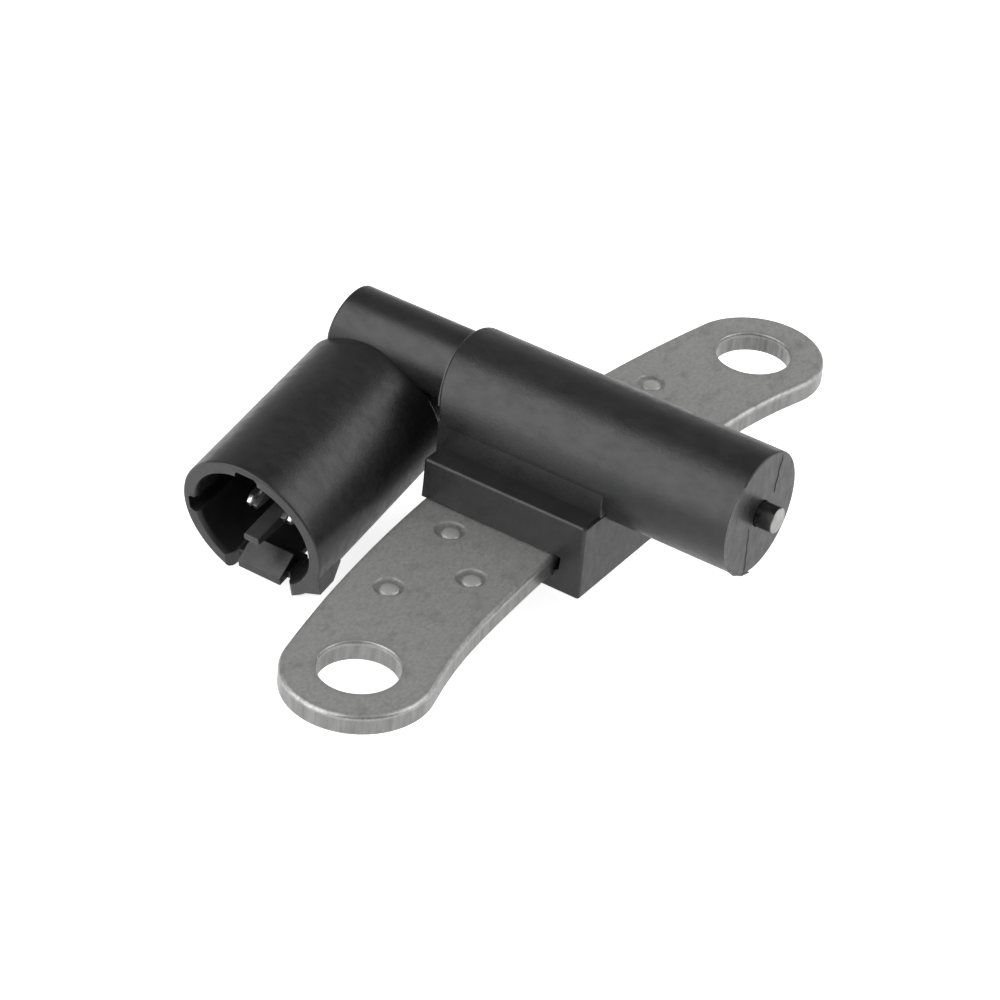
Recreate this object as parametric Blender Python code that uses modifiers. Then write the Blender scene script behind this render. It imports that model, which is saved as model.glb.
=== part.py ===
"""Crankshaft position sensor: an inductive pickup moulded onto a curved steel mounting plate.

The origin is on the block's flat underside, midway between the two bolt holes. +X runs along the
barrel to the sensing tip, +Y along the plate from hole to hole, +Z up. Sizes are in millimetres
until MM turns them into Blender's metres.
"""

from math import atan2, ceil, cos, degrees, hypot, pi, radians, sin, sqrt

import bmesh
import bpy
from mathutils import Matrix, Vector

MM = 0.001
GAP = 0.3  # between pieces that touch, or that are moulded into each other
ROUND_STEPS = 80
SMALL_STEPS = 48
CUT_OVER = 2.0  # how far a cutter runs past the surface that it opens
STAGGER = 0.08  # between faces that would otherwise lie in one plane

# Mounting plate: stamped sheet, its long edges arcs about the crankshaft, with round ears
SHEET = 2.7
HOLE_PITCH = 90.0
HOLE_D = 10.0
EAR_R = 9.5
OUTER_EDGE_X = -14.6  # at the middle of the plate
INNER_EDGE_X = 5.1
INNER_EDGE_RISE = 3.33794  # how far the inner edge swings toward the tip by the holes
WAIST_FILLET = 25.0
SHEET_EDGE = 0.35  # rounding that the press leaves on every edge
PUNCH_D = 4.0
PUNCH_FLOOR_D = 2.2
PUNCH_DEPTH = 0.9
PUNCH_MARKS = ((-7.7, 15.2), (-6.7, 29.7), (0.0, 21.8))  # x, and y on both wings

# Block that grips the plate
BLOCK_BELOW = 2.2  # under the sheet
BLOCK_ABOVE = 5.8  # over the sheet
BLOCK_HALF_Y = 11.5
BLOCK_BACK_X = -14.7
BLOCK_TIP_X = 9.35
BLOCK_EDGE = 0.45
RELIEF_WIDTH = 1.0  # notch beside the sheet's inner edge
RELIEF_DEPTH = 2.2

# Barrel, and the web under it
BARREL_R = 8.1
BARREL_OVER_SHEET = 10.0
BARREL_BACK_X = -15.3
BARREL_BACK_LEAN = 0.15  # how much its rear face slopes, further back at the top
TIP_X = 26.85
BARREL_EDGE = 0.5
TIP_EDGE = 0.2
WEB_BACK_X = -15.3

# Neck between the barrel and the connector
NECK_R = 4.85
NECK_OVER_SHEET = 12.5
NECK_END_X = -34.8
NECK_EDGE = 0.45

# Connector shroud, turned down towards its mouth
SHROUD_PITCH = 13.4  # degrees
SHROUD_X = -28.9
SHROUD_OVER_SHEET = 3.75  # its axis, in the plane through the barrel's axis
SHROUD_REACH = 28.55  # from that plane to the mouth, along its own axis
SHROUD_R = 10.6
SHROUD_LENGTH = 26.4  # from the mouth to the shoulder
SHOULDER_EDGE = 1.2
BOSS_R = 7.5  # behind the shoulder, round the contacts' legs
BOSS_BACK = 4.0  # past the same plane
BOSS_EDGE = 1.4
RIM_EDGE = 0.25
SOCKET_R = 8.6
SOCKET_DEPTH = 14.0
SOCKET_DRAFT = 0.2
SOCKET_LEAD_IN = 0.3
SOCKET_LEAD_IN_DEPTH = 0.6
KEYWAY_R = 9.8
TOP_KEYWAY = (-1.3, 2.1)  # its two sides, across the socket
SIDE_KEYWAY = (-1.4, 1.2)

# Latch tongue in the slot under the socket
SLOT_HALF = 4.65
SLOT_X = -0.4
SLOT_DEPTH = 10.0
SLOT_TOP = 5.5  # below the socket's axis
SLOT_MOUTH_R = 1.5
TONGUE_HALF = 2.4
TONGUE_UNDER = 8.2  # its underside, below the socket's axis
TONGUE_THICK = 1.1
TONGUE_ROOT = 2.2
RAMP_LENGTH = 3.5
RAMP_RISE = 1.8
RAMP_TOP_HALF = 2.45
RAMP_FOOT_HALF = 3.1

# Key post between the contacts, and the lug beside the slot
POST_HALF = 1.15
POST_END = 0.3
POST_END_HEIGHT = 1.0
POST_FOOT_HEIGHT = 3.0
LUG_SIDE_X = 9.95
LUG_TOP = -2.0
LUG_CORNER = -6.4
LUG_FOOT = (6.3, -8.0)
LUG_LENGTH = 2.85
LUG_TAIL = 2.2
LUG_DRAW_IN = (0.965, 0.78)  # shares of its width and height left at the tail's end

# Contacts: folded tabs in the socket on flat strips through the neck
TAB_PITCH = 4.4
TAB_WIDTH = 1.8
TAB_THICK = 1.6
TAB_HEIGHT = 0.2  # over the socket's axis
TAB_RECESS = 2.75  # tip behind the mouth
TAB_NOSE = 0.2
TAB_NOSE_LENGTH = 0.5
SEAM_WIDTH = 0.35
SEAM_DEPTH = 0.5
STRIP_WIDTH = 1.6
STRIP_THICK = 0.8
STRIP_PITCH = 3.4

# Sensing core
PIN_R = 1.68
PIN_PROUD = 2.45
PIN_EDGE = 0.12
CORE_R = 6.5  # the space that the coil fills
TIP_WALL = 1.6
FLANGE = 1.0
SPOOL_WALL = 0.95
COIL_LENGTH = 19.4
TAPE = 0.35
MAGNET_R = 4.0
MAGNET_LENGTH = 8.0
MAGNET_EDGE = 0.4
COLLAR_WALL = 1.0
FLUX_PLATE = 1.5
CORE_BACK_SPACE = 6.0  # behind the collar, where the leads are joined
SPACER = (5.0, 6.0, 2.6)  # length, width, height
SPACER_BACK = 3.5  # from the core's space
LEAD_R = 0.2
LEAD_DROP = 2.2  # along the axis, from the collar down to the strips
LEAD_LAP = 1.7  # on the strip
NOTCH_WIDTH = 1.3
SOLDER_R = 1.0

# Heights and places that follow
SHEET_BOTTOM = BLOCK_BELOW
SHEET_TOP = SHEET_BOTTOM + SHEET
BLOCK_TOP = SHEET_TOP + BLOCK_ABOVE
BARREL_Z = SHEET_TOP + BARREL_OVER_SHEET
NECK_Z = SHEET_TOP + NECK_OVER_SHEET
SHROUD_Z = SHEET_TOP + SHROUD_OVER_SHEET
PITCH = radians(SHROUD_PITCH)
POST_TOP = TAB_HEIGHT - TAB_THICK / 2 - GAP - STAGGER
MOUTH = Vector((SHROUD_X, -SHROUD_REACH * cos(PITCH), SHROUD_Z - SHROUD_REACH * sin(PITCH)))
FLANGE_R = CORE_R - GAP
TAPE_R = FLANGE_R - GAP
COIL_R = TAPE_R - TAPE - GAP
SPOOL_BORE = PIN_R + GAP
SPOOL_R = SPOOL_BORE + SPOOL_WALL
CORE_FRONT_X = TIP_X - TIP_WALL
FLANGE_FRONT_X = CORE_FRONT_X - GAP
COIL_FRONT_X = FLANGE_FRONT_X - FLANGE - GAP
COIL_BACK_X = COIL_FRONT_X - COIL_LENGTH
FLANGE_BACK_X = COIL_BACK_X - GAP - FLANGE
COLLAR_BORE = MAGNET_R + GAP
COLLAR_R = COLLAR_BORE + COLLAR_WALL
MAGNET_FRONT_X = FLANGE_BACK_X - GAP
MAGNET_BACK_X = MAGNET_FRONT_X - MAGNET_LENGTH
PLATE_FRONT_X = MAGNET_BACK_X - GAP
COLLAR_BACK_X = PLATE_FRONT_X - FLUX_PLATE
CORE_BACK_X = COLLAR_BACK_X - CORE_BACK_SPACE
STRIP_END_X = COLLAR_BACK_X - LEAD_DROP

BLACK_PLASTIC = ("Black glass-filled plastic", (0.022, 0.022, 0.023), 0.5, 0.0)
STEEL_SHEET = ("Plated sheet steel", (0.36, 0.36, 0.35), 0.42, 0.9)
POLE_STEEL = ("Bright steel", (0.6, 0.6, 0.6), 0.25, 1.0)
TIN = ("Tin plate", (0.8, 0.8, 0.78), 0.3, 1.0)
MAGNET_GREY = ("Sintered magnet", (0.12, 0.12, 0.13), 0.45, 0.8)
BOBBIN_PLASTIC = ("Natural nylon", (0.42, 0.38, 0.3), 0.5, 0.0)
COPPER = ("Enamelled copper", (0.55, 0.2, 0.09), 0.3, 0.9)
TAPE_YELLOW = ("Polyester tape", (0.55, 0.42, 0.06), 0.4, 0.0)
SOLDER = ("Solder", (0.62, 0.62, 0.6), 0.3, 1.0)
GUIDE = ("Guide", (0.8, 0.2, 0.2), 0.5, 0.0)


def clear_scene():
    """Removes what the open scene holds."""
    for old in list(bpy.data.objects):
        bpy.data.objects.remove(old, do_unlink=True)


def collection(name):
    """A new collection in the scene."""
    made = bpy.data.collections.new(name)
    bpy.context.scene.collection.children.link(made)
    return made


def material(recipe):
    """The Principled material of a recipe, made once."""
    name, colour, roughness, metallic = recipe
    made = bpy.data.materials.get(name)
    if made is None:
        made = bpy.data.materials.new(name)
        made.use_nodes = True
        shader = made.node_tree.nodes["Principled BSDF"]
        shader.inputs["Base Color"].default_value = (*colour, 1.0)
        shader.inputs["Roughness"].default_value = roughness
        shader.inputs["Metallic"].default_value = metallic
    return made


def empty(name, place, turn=(0, 0, 0)):
    """An axis that pieces are parented to."""
    made = bpy.data.objects.new(name, None)
    made.location = Vector(place) * MM
    made.rotation_euler = turn
    SENSOR.objects.link(made)
    return made


def add(name, mesh, recipe, parent=None, helper=False):
    """Puts a mesh into the scene as a piece, or as a helper that no render shows."""
    made = bpy.data.objects.new(name, mesh)
    (HELPERS if helper else SENSOR).objects.link(made)
    made.parent = parent
    mesh.materials.append(material(recipe))
    if helper:
        made.hide_render = True
        made.display_type = "WIRE"
    return made


def bevel(piece, width, segments=3, angle=40):
    """Rounds the edges sharper than an angle."""
    made = piece.modifiers.new("Rounded edges", "BEVEL")
    made.width = width * MM
    made.segments = segments
    made.limit_method = "ANGLE"
    made.angle_limit = radians(angle)
    return piece


def boolean(piece, other, operation):
    """Joins another solid to a piece, or cuts it away."""
    made = piece.modifiers.new(operation.title() + " " + other.name, "BOOLEAN")
    made.operation = operation
    made.object = other
    made.solver = "EXACT"


def box(name, low, high, recipe=GUIDE, parent=None, helper=True):
    """A box between two corners."""
    low, high = Vector(low) * MM, Vector(high) * MM
    form = bmesh.new()
    size = Matrix.Diagonal((*(high - low), 1.0))
    bmesh.ops.create_cube(form, size=1.0, matrix=Matrix.Translation((low + high) / 2) @ size)
    mesh = bpy.data.meshes.new(name)
    form.to_mesh(mesh)
    form.free()
    return add(name, mesh, recipe, parent, helper)


def turned(name, profile, recipe=GUIDE, parent=None, helper=True, steps=ROUND_STEPS, ring=False):
    """A profile of radius and height turned about the local Z axis, its outer side listed top to bottom."""
    form = bmesh.new()
    points = [form.verts.new((radius * MM, 0, height * MM)) for radius, height in profile]
    ends = zip(points, points[1:] + points[:1]) if ring else zip(points, points[1:])
    for first, second in ends:
        form.edges.new((first, second))
    mesh = bpy.data.meshes.new(name)
    form.to_mesh(mesh)
    form.free()
    made = add(name, mesh, recipe, parent, helper)
    screw = made.modifiers.new("Turn", "SCREW")
    screw.axis = "Z"
    screw.angle = 2 * pi
    screw.steps = steps
    screw.render_steps = steps
    screw.use_merge_vertices = True
    screw.merge_threshold = 1e-6
    screw.use_smooth_shade = True
    return made


def rod(
    name,
    radius,
    bottom,
    top,
    edges=(0, 0),
    recipe=GUIDE,
    parent=None,
    helper=True,
    steps=ROUND_STEPS,
    top_radius=None,
    flare=None,
    lean=0.0,
):
    """A cylinder along the local Z axis, its bottom and top edge rounded.

    A flare is the radius and height of one more ring past the top. A lean slopes the bottom along X.
    """
    form = bmesh.new()
    bmesh.ops.create_cone(
        form,
        cap_ends=True,
        segments=steps,
        radius1=radius * MM,
        radius2=(radius if top_radius is None else top_radius) * MM,
        depth=(top - bottom) * MM,
        matrix=Matrix.Translation((0, 0, (bottom + top) / 2 * MM)),
    )
    middle = (bottom + top) / 2 * MM
    for point in form.verts:
        if point.co.z < middle:
            point.co.z += lean * point.co.x
    if flare:
        form.faces.ensure_lookup_table()
        end = max(form.faces, key=lambda face: face.calc_center_median().z)
        end = bmesh.ops.extrude_discrete_faces(form, faces=[end])["faces"][0]
        for point in end.verts:
            out = point.co.xy.normalized() * flare[0] * MM
            point.co = (out.x, out.y, flare[1] * MM)
    widest = max(edges)
    if widest:
        weight = form.edges.layers.float.new("bevel_weight_edge")
        for edge in form.edges:
            ends = {point.co.z > middle for point in edge.verts}
            if len(ends) == 1:
                edge[weight] = edges[ends.pop()] / widest
    mesh = bpy.data.meshes.new(name)
    form.to_mesh(mesh)
    form.free()
    made = add(name, mesh, recipe, parent, helper)
    if widest:
        bevel(made, widest).modifiers[-1].limit_method = "WEIGHT"
    return made


def prism(name, outline, thickness, recipe=GUIDE, parent=None, helper=True, edge=0.0):
    """A flat outline in the local XY plane with a thickness, centred on it and with rounded edges."""
    curve = bpy.data.curves.new(name, "CURVE")
    curve.dimensions = "2D"
    curve.fill_mode = "BOTH"
    curve.extrude = (thickness / 2 - edge) * MM
    curve.bevel_depth = edge * MM
    curve.bevel_resolution = 1
    curve.offset = -edge * MM
    spline = curve.splines.new("POLY")
    spline.points.add(len(outline) - 1)
    for point, (x, y) in zip(spline.points, outline):
        point.co = (x * MM, y * MM, 0, 1)
    spline.use_cyclic_u = True
    drawn = bpy.data.objects.new(name + " outline", curve)
    SENSOR.objects.link(drawn)
    graph = bpy.context.evaluated_depsgraph_get()
    mesh = bpy.data.meshes.new_from_object(drawn.evaluated_get(graph))
    bpy.data.objects.remove(drawn)
    form = bmesh.new()
    form.from_mesh(mesh)
    bmesh.ops.remove_doubles(form, verts=form.verts, dist=1e-7)
    bmesh.ops.recalc_face_normals(form, faces=form.faces)
    form.to_mesh(mesh)
    form.free()
    mesh.name = name
    mesh.materials.clear()
    return add(name, mesh, recipe, parent, helper)


def smooth(piece, angle=35):
    """Shades a piece smooth but for its sharp edges."""
    piece.data.shade_smooth()
    piece.data.set_sharp_from_angle(angle=radians(angle))
    weighted = piece.modifiers.new("Smooth by angle", "WEIGHTED_NORMAL")
    weighted.keep_sharp = True


def arc(centre, radius, start, stop, step=6.0):
    """Points along an arc from one angle in degrees to another."""
    count = max(2, ceil(abs(stop - start) / step))
    points = []
    for index in range(count + 1):
        angle = radians(start + (stop - start) * index / count)
        points.append((centre[0] + radius * cos(angle), centre[1] + radius * sin(angle)))
    return points


def bearing(centre, point):
    """The direction in degrees from a centre to a point."""
    return degrees(atan2(point[1] - centre[1], point[0] - centre[0]))


def meeting_point(first, first_r, second, second_r):
    """Where two circles meet, on the left of the line from the first centre to the second."""
    across, up = second[0] - first[0], second[1] - first[1]
    apart = hypot(across, up)
    along = (apart**2 + first_r**2 - second_r**2) / (2 * apart)
    aside = sqrt(first_r**2 - along**2)
    return (
        first[0] + (along * across - aside * up) / apart,
        first[1] + (along * up + aside * across) / apart,
    )


def plate_outline(grow=0.0):
    """The plate: an outer arc tangent to both ears, a shallower inner arc and a fillet into each ear."""
    hole_y = HOLE_PITCH / 2
    ear_r = EAR_R + grow
    outer_x = OUTER_EDGE_X - grow
    outer_r = (ear_r**2 - outer_x**2 - hole_y**2) / (2 * (outer_x + ear_r))
    outer = (outer_x + outer_r, 0)
    edge_r = (hole_y**2 + INNER_EDGE_RISE**2) / (2 * INNER_EDGE_RISE)
    inner_r = edge_r - grow
    inner = (INNER_EDGE_X + edge_r, 0)
    fillet_r = WAIST_FILLET - grow
    ear = (0, hole_y)
    fillet = meeting_point(inner, inner_r - fillet_r, ear, ear_r + fillet_r)
    on_ear = bearing(ear, fillet)
    touch = bearing(outer, ear) % 360
    half = arc(outer, outer_r, 180, touch, 1.5)
    half += arc(ear, ear_r, touch, on_ear)[1:]
    half += arc(fillet, fillet_r, on_ear + 180, bearing(inner, fillet) % 360, 6)[1:]
    half += arc(inner, inner_r, bearing(inner, fillet) % 360, 180, 1.5)[1:]
    other = [(x, -y) for x, y in reversed(half)]
    return half + other[1:-1]


def mounting_bracket():
    """Stamped steel plate with two bolt holes and blind punch marks."""
    plate = prism("mounting_bracket", plate_outline(), SHEET, STEEL_SHEET, None, False, SHEET_EDGE)
    plate.location.z = (SHEET_BOTTOM + SHEET / 2) * MM
    for side in (-1, 1):
        bore = turned("bolt hole", bolt_hole_profile())
        bore.location = Vector((0, side * HOLE_PITCH / 2, SHEET_BOTTOM + SHEET / 2)) * MM
        boolean(plate, bore, "DIFFERENCE")
        for x, y in PUNCH_MARKS:
            mark = turned("punch mark", punch_profile(), steps=SMALL_STEPS // 2)
            mark.location = Vector((x, side * y, SHEET_TOP)) * MM
            boolean(plate, mark, "DIFFERENCE")
    smooth(plate, 50)
    return plate


def bolt_hole_profile():
    """A bore with a rounded rim on both faces of the sheet."""
    half = SHEET / 2
    upper = [(0, half + CUT_OVER), (HOLE_D / 2 + 2 * SHEET_EDGE, half + CUT_OVER)]
    upper.append((HOLE_D / 2 + 2 * SHEET_EDGE, half + SHEET_EDGE / 2))
    for angle in (60, 30, 0):
        out = SHEET_EDGE * (1 - cos(radians(angle)))
        down = SHEET_EDGE * (1 - sin(radians(angle)))
        upper.append((HOLE_D / 2 + out, half - down))
    return upper + [(radius, -height) for radius, height in reversed(upper)]


def punch_profile():
    """A shallow mark with a sloping side, cut from above."""
    slope = (PUNCH_D - PUNCH_FLOOR_D) / 2 / PUNCH_DEPTH
    return [
        (0, CUT_OVER),
        (PUNCH_D / 2 + slope * CUT_OVER, CUT_OVER),
        (PUNCH_FLOOR_D / 2, -PUNCH_DEPTH),
        (0, -PUNCH_DEPTH),
    ]


def socket_core(shroud):
    """The mould's core for the socket: its bore, lead-in, keyways and latch slot."""
    slope = SOCKET_LEAD_IN / SOCKET_LEAD_IN_DEPTH
    floor = -SOCKET_DEPTH
    core = rod(
        "socket",
        SOCKET_R - SOCKET_DRAFT,
        floor,
        -SOCKET_LEAD_IN_DEPTH,
        parent=shroud,
        top_radius=SOCKET_R,
        flare=(SOCKET_R + slope * (CUT_OVER + SOCKET_LEAD_IN_DEPTH), CUT_OVER),
    )
    keyway_end = floor + STAGGER
    top_low = (TOP_KEYWAY[0], 0, keyway_end)
    top_high = (TOP_KEYWAY[1], KEYWAY_R, CUT_OVER - STAGGER)
    side_low = (-KEYWAY_R, SIDE_KEYWAY[0], keyway_end)
    side_high = (0, SIDE_KEYWAY[1], CUT_OVER - STAGGER)
    boolean(core, box("top keyway", top_low, top_high, parent=shroud), "UNION")
    boolean(core, box("side keyway", side_low, side_high, parent=shroud), "UNION")
    boolean(core, latch_slot(shroud), "UNION")
    return core


def lug(parent):
    """The corner beside the slot, square at the mouth and drawn in behind it."""
    outline = [(LUG_FOOT[0] - 1, LUG_TOP - 2), LUG_FOOT, (LUG_SIDE_X, LUG_CORNER), (LUG_SIDE_X, LUG_TOP)]
    made = prism("lug", outline, LUG_LENGTH, parent=parent)
    made.location.z = -(LUG_LENGTH / 2 + STAGGER) * MM
    tail = prism("lug tail", outline, LUG_TAIL, parent=parent)
    for point in tail.data.vertices:
        across, down = LUG_DRAW_IN if point.co.z < 0 else (0.995, 0.99)
        point.co.x *= across
        point.co.y *= down
    tail.location.z = -(LUG_LENGTH + LUG_TAIL / 2) * MM
    boolean(made, tail, "UNION")
    return made


def latch_slot(parent):
    """The slot in the shroud's lower wall, its corners rounded at the mouth."""
    wide = SLOT_HALF + SLOT_MOUTH_R
    side = [(SLOT_HALF, -SLOT_DEPTH)]
    side += arc((wide, -SLOT_MOUTH_R), SLOT_MOUTH_R, 180, 105, 15)
    side.append((wide, CUT_OVER + STAGGER))
    outline = side + [(-x, depth) for x, depth in reversed(side)]
    height = SHROUD_R + CUT_OVER - SLOT_TOP
    made = prism("latch slot", outline, height, parent=parent)
    made.rotation_euler.x = radians(90)
    made.location = Vector((SLOT_X, -(SLOT_TOP + height / 2), 0)) * MM
    return made


def latch_ramp(parent):
    """The catch on the tongue: a ramp that rises behind the mouth, wider at its foot."""
    foot = -TONGUE_UNDER - STAGGER
    outline = [
        (0, foot),
        (RAMP_LENGTH, foot),
        (RAMP_LENGTH, foot + TONGUE_THICK + RAMP_RISE),
        (0, foot + TONGUE_THICK),
    ]
    made = prism("latch ramp", outline, 2 * RAMP_FOOT_HALF, parent=parent)
    rise = (TONGUE_THICK + RAMP_RISE) * MM
    for point in made.data.vertices:
        share = (point.co.y - foot * MM) / rise
        point.co.z *= 1 - share * (1 - RAMP_TOP_HALF / RAMP_FOOT_HALF)
    made.rotation_euler.y = radians(90)
    return made


def key_post(parent):
    """The post between the contacts, deeper towards the socket's floor."""
    foot = SOCKET_DEPTH + GAP
    outline = [
        (POST_END, POST_TOP - POST_END_HEIGHT),
        (foot, POST_TOP - POST_FOOT_HEIGHT),
        (foot, POST_TOP),
        (POST_END, POST_TOP),
    ]
    made = prism("key post", outline, 2 * POST_HALF, parent=parent)
    made.rotation_euler.y = radians(90)
    return bevel(made, 0.2, 2)


def contact_boxes(side, grow):
    """Low and high corners of a contact's leg and strip, and of its tab in the shroud's frame.

    Side -1 is the contact on the left of the post. Each is grown by a clearance for its passage.
    """
    tab_x = side * TAB_PITCH / 2
    strip_y = -side * STRIP_PITCH / 2
    leg_x = SHROUD_X + tab_x
    half_x = TAB_WIDTH / 2 + grow
    half_y = STRIP_WIDTH / 2 + grow
    half_z = STRIP_THICK / 2 + grow
    leg_half = STRIP_THICK / 2 + grow
    tab_z = SHROUD_Z + TAB_HEIGHT / cos(PITCH) + strip_y * sin(PITCH) / cos(PITCH)
    strip = (
        (leg_x - half_x - STAGGER, strip_y - half_y, NECK_Z - half_z),
        (STRIP_END_X + grow, strip_y + half_y, NECK_Z + half_z),
    )
    leg = (
        (leg_x - half_x + STAGGER, strip_y - leg_half, tab_z),
        (leg_x + half_x - STAGGER, strip_y + leg_half, NECK_Z),
    )
    back = -(SHROUD_REACH + strip_y / cos(PITCH)) - leg_half - STAGGER
    tab = (
        (tab_x - half_x, TAB_HEIGHT - TAB_THICK / 2 - grow, back),
        (tab_x + half_x, TAB_HEIGHT + TAB_THICK / 2 + grow, TAB_NOSE_LENGTH - TAB_RECESS),
    )
    return strip, leg, tab


def contact(name, side, shroud):
    """One stamped contact: a folded tab with its seam, a leg and a flat strip."""
    strip_box, leg_box, tab_box = contact_boxes(side, 0.0)
    made = box(name, *strip_box, TIN, None, False)
    boolean(made, box(name + " leg", *leg_box), "UNION")
    tab = box(name + " tab", *tab_box, parent=shroud)
    bevel(tab, 0.12, 2)
    boolean(made, tab, "UNION")
    middle = side * TAB_PITCH / 2
    top = TAB_HEIGHT + TAB_THICK / 2
    low = (middle - SEAM_WIDTH / 2, top - SEAM_DEPTH, -SOCKET_DEPTH + 1)
    high = (middle + SEAM_WIDTH / 2, top + CUT_OVER, 0)
    boolean(made, box(name + " seam", low, high, parent=shroud), "DIFFERENCE")
    for half, turn in ((TAB_WIDTH / 2, (radians(90), 0, 0)), (TAB_THICK / 2, (radians(90), 0, radians(90)))):
        outline = [(-half - TAB_NOSE, -2 * TAB_NOSE_LENGTH), (-half + TAB_NOSE, 0), (half - TAB_NOSE, 0)]
        outline += [(half + TAB_NOSE, -2 * TAB_NOSE_LENGTH), (half + TAB_NOSE, CUT_OVER)]
        outline.append((-half - TAB_NOSE, CUT_OVER))
        nose = prism(name + " nose", outline, 2 * CUT_OVER, parent=shroud)
        nose.rotation_euler = turn
        nose.location = Vector((middle, TAB_HEIGHT, -TAB_RECESS)) * MM
        boolean(made, nose, "DIFFERENCE")
    return made


def sensor_housing(shroud, barrel):
    """The overmoulding: barrel, web, block, neck and shroud in one piece, hollow for the core."""
    housing = rod(
        "sensor_housing",
        BARREL_R,
        BARREL_BACK_X,
        TIP_X,
        (BARREL_EDGE, TIP_EDGE),
        BLACK_PLASTIC,
        barrel,
        False,
        lean=BARREL_BACK_LEAN,
    )
    web_y = BARREL_R - STAGGER
    web = box("web", (WEB_BACK_X, -web_y, BLOCK_TOP - 1), (BLOCK_TIP_X - STAGGER, web_y, BARREL_Z - 0.5))
    block = box("block", (BLOCK_BACK_X, -BLOCK_HALF_Y, 0), (BLOCK_TIP_X, BLOCK_HALF_Y, BLOCK_TOP))
    bevel(block, BLOCK_EDGE)
    neck_axis = empty("neck_axis", (0, 0, NECK_Z), (0, radians(90), 0))
    neck = rod("neck", NECK_R, NECK_END_X, 0, (NECK_EDGE, 0), parent=neck_axis)
    outside = rod("shroud", SHROUD_R, -SHROUD_LENGTH, 0, (SHOULDER_EDGE, RIM_EDGE), parent=shroud)
    back = -(SHROUD_REACH + BOSS_BACK)
    front = 1 - SHROUD_LENGTH
    boss = rod("boss", BOSS_R, back, front, (BOSS_EDGE, 0), parent=shroud, steps=SMALL_STEPS)
    for solid in (web, block, neck, outside, boss, lug(shroud)):
        boolean(housing, solid, "UNION")
    for tool in housing_cuts(shroud, barrel):
        boolean(housing, tool, "DIFFERENCE")
    tongue_top = TONGUE_THICK - TONGUE_UNDER
    tongue = box(
        "tongue",
        (-TONGUE_HALF, -TONGUE_UNDER, -SLOT_DEPTH - TONGUE_ROOT / 2),
        (TONGUE_HALF, tongue_top, -RAMP_LENGTH / 2),
        parent=shroud,
    )
    root = box(
        "tongue root",
        (-TONGUE_HALF - STAGGER, 1 - SHROUD_R, -SLOT_DEPTH - TONGUE_ROOT),
        (TONGUE_HALF + STAGGER, tongue_top + STAGGER, -SLOT_DEPTH + TONGUE_ROOT / 4),
        parent=shroud,
    )
    for solid in (tongue, root, latch_ramp(shroud), key_post(shroud)):
        boolean(housing, solid, "UNION")
    smooth(housing)
    return housing


def housing_cuts(shroud, barrel):
    """What the mould's cores and the pieces inside leave open."""
    core = rod("core space", CORE_R, CORE_BACK_X, CORE_FRONT_X, parent=barrel)
    hole_r = PIN_R + GAP
    pin_hole = rod("pin hole", hole_r, CORE_FRONT_X - 1, TIP_X + CUT_OVER, parent=barrel, steps=SMALL_STEPS)
    boolean(core, pin_hole, "UNION")
    cuts = [socket_core(shroud), core]
    slot = prism("plate slot", plate_outline(GAP), SHEET + 2 * GAP)
    slot.location.z = (SHEET_BOTTOM + SHEET / 2) * MM
    cuts.append(slot)
    for side in (-1, 1):
        inner = side * (BLOCK_HALF_Y - RELIEF_DEPTH)
        low_y, high_y = sorted((inner, side * (BLOCK_HALF_Y + CUT_OVER)))
        low = (INNER_EDGE_X - 1, low_y, SHEET_BOTTOM - GAP - STAGGER)
        high = (INNER_EDGE_X + RELIEF_WIDTH, high_y, SHEET_TOP + GAP + STAGGER)
        cuts.append(box("relief", low, high))
        strip, leg, tab = contact_boxes(side, GAP)
        cuts.append(box("leg passage", *leg))
        cuts.append(box("tab passage", *tab, parent=shroud))
        cuts.append(box("strip passage", *strip))
    _, width, height = SPACER
    low = (spacer_back_x() - GAP, -width / 2 - GAP, NECK_Z - height / 2 - GAP)
    high = (CORE_BACK_X + 1, width / 2 + GAP, NECK_Z + height / 2 + GAP)
    cuts.append(box("spacer seat", low, high))
    return cuts


def spacer_back_x():
    """The back of the spacer's seat in the neck."""
    return CORE_BACK_X - SPACER_BACK - SPACER[0]


def terminal_spacer():
    """The comb that keeps the two strips apart."""
    length, width, height = SPACER
    back = spacer_back_x()
    low = (back, -width / 2, NECK_Z - height / 2)
    high = (back + length, width / 2, NECK_Z + height / 2)
    made = box("terminal_spacer", low, high, BOBBIN_PLASTIC, None, False)
    for side in (-1, 1):
        strip, _, _ = contact_boxes(side, GAP)
        boolean(made, box("spacer slot", *strip), "DIFFERENCE")
    bevel(made, 0.15, 1, 60)
    return made


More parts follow.
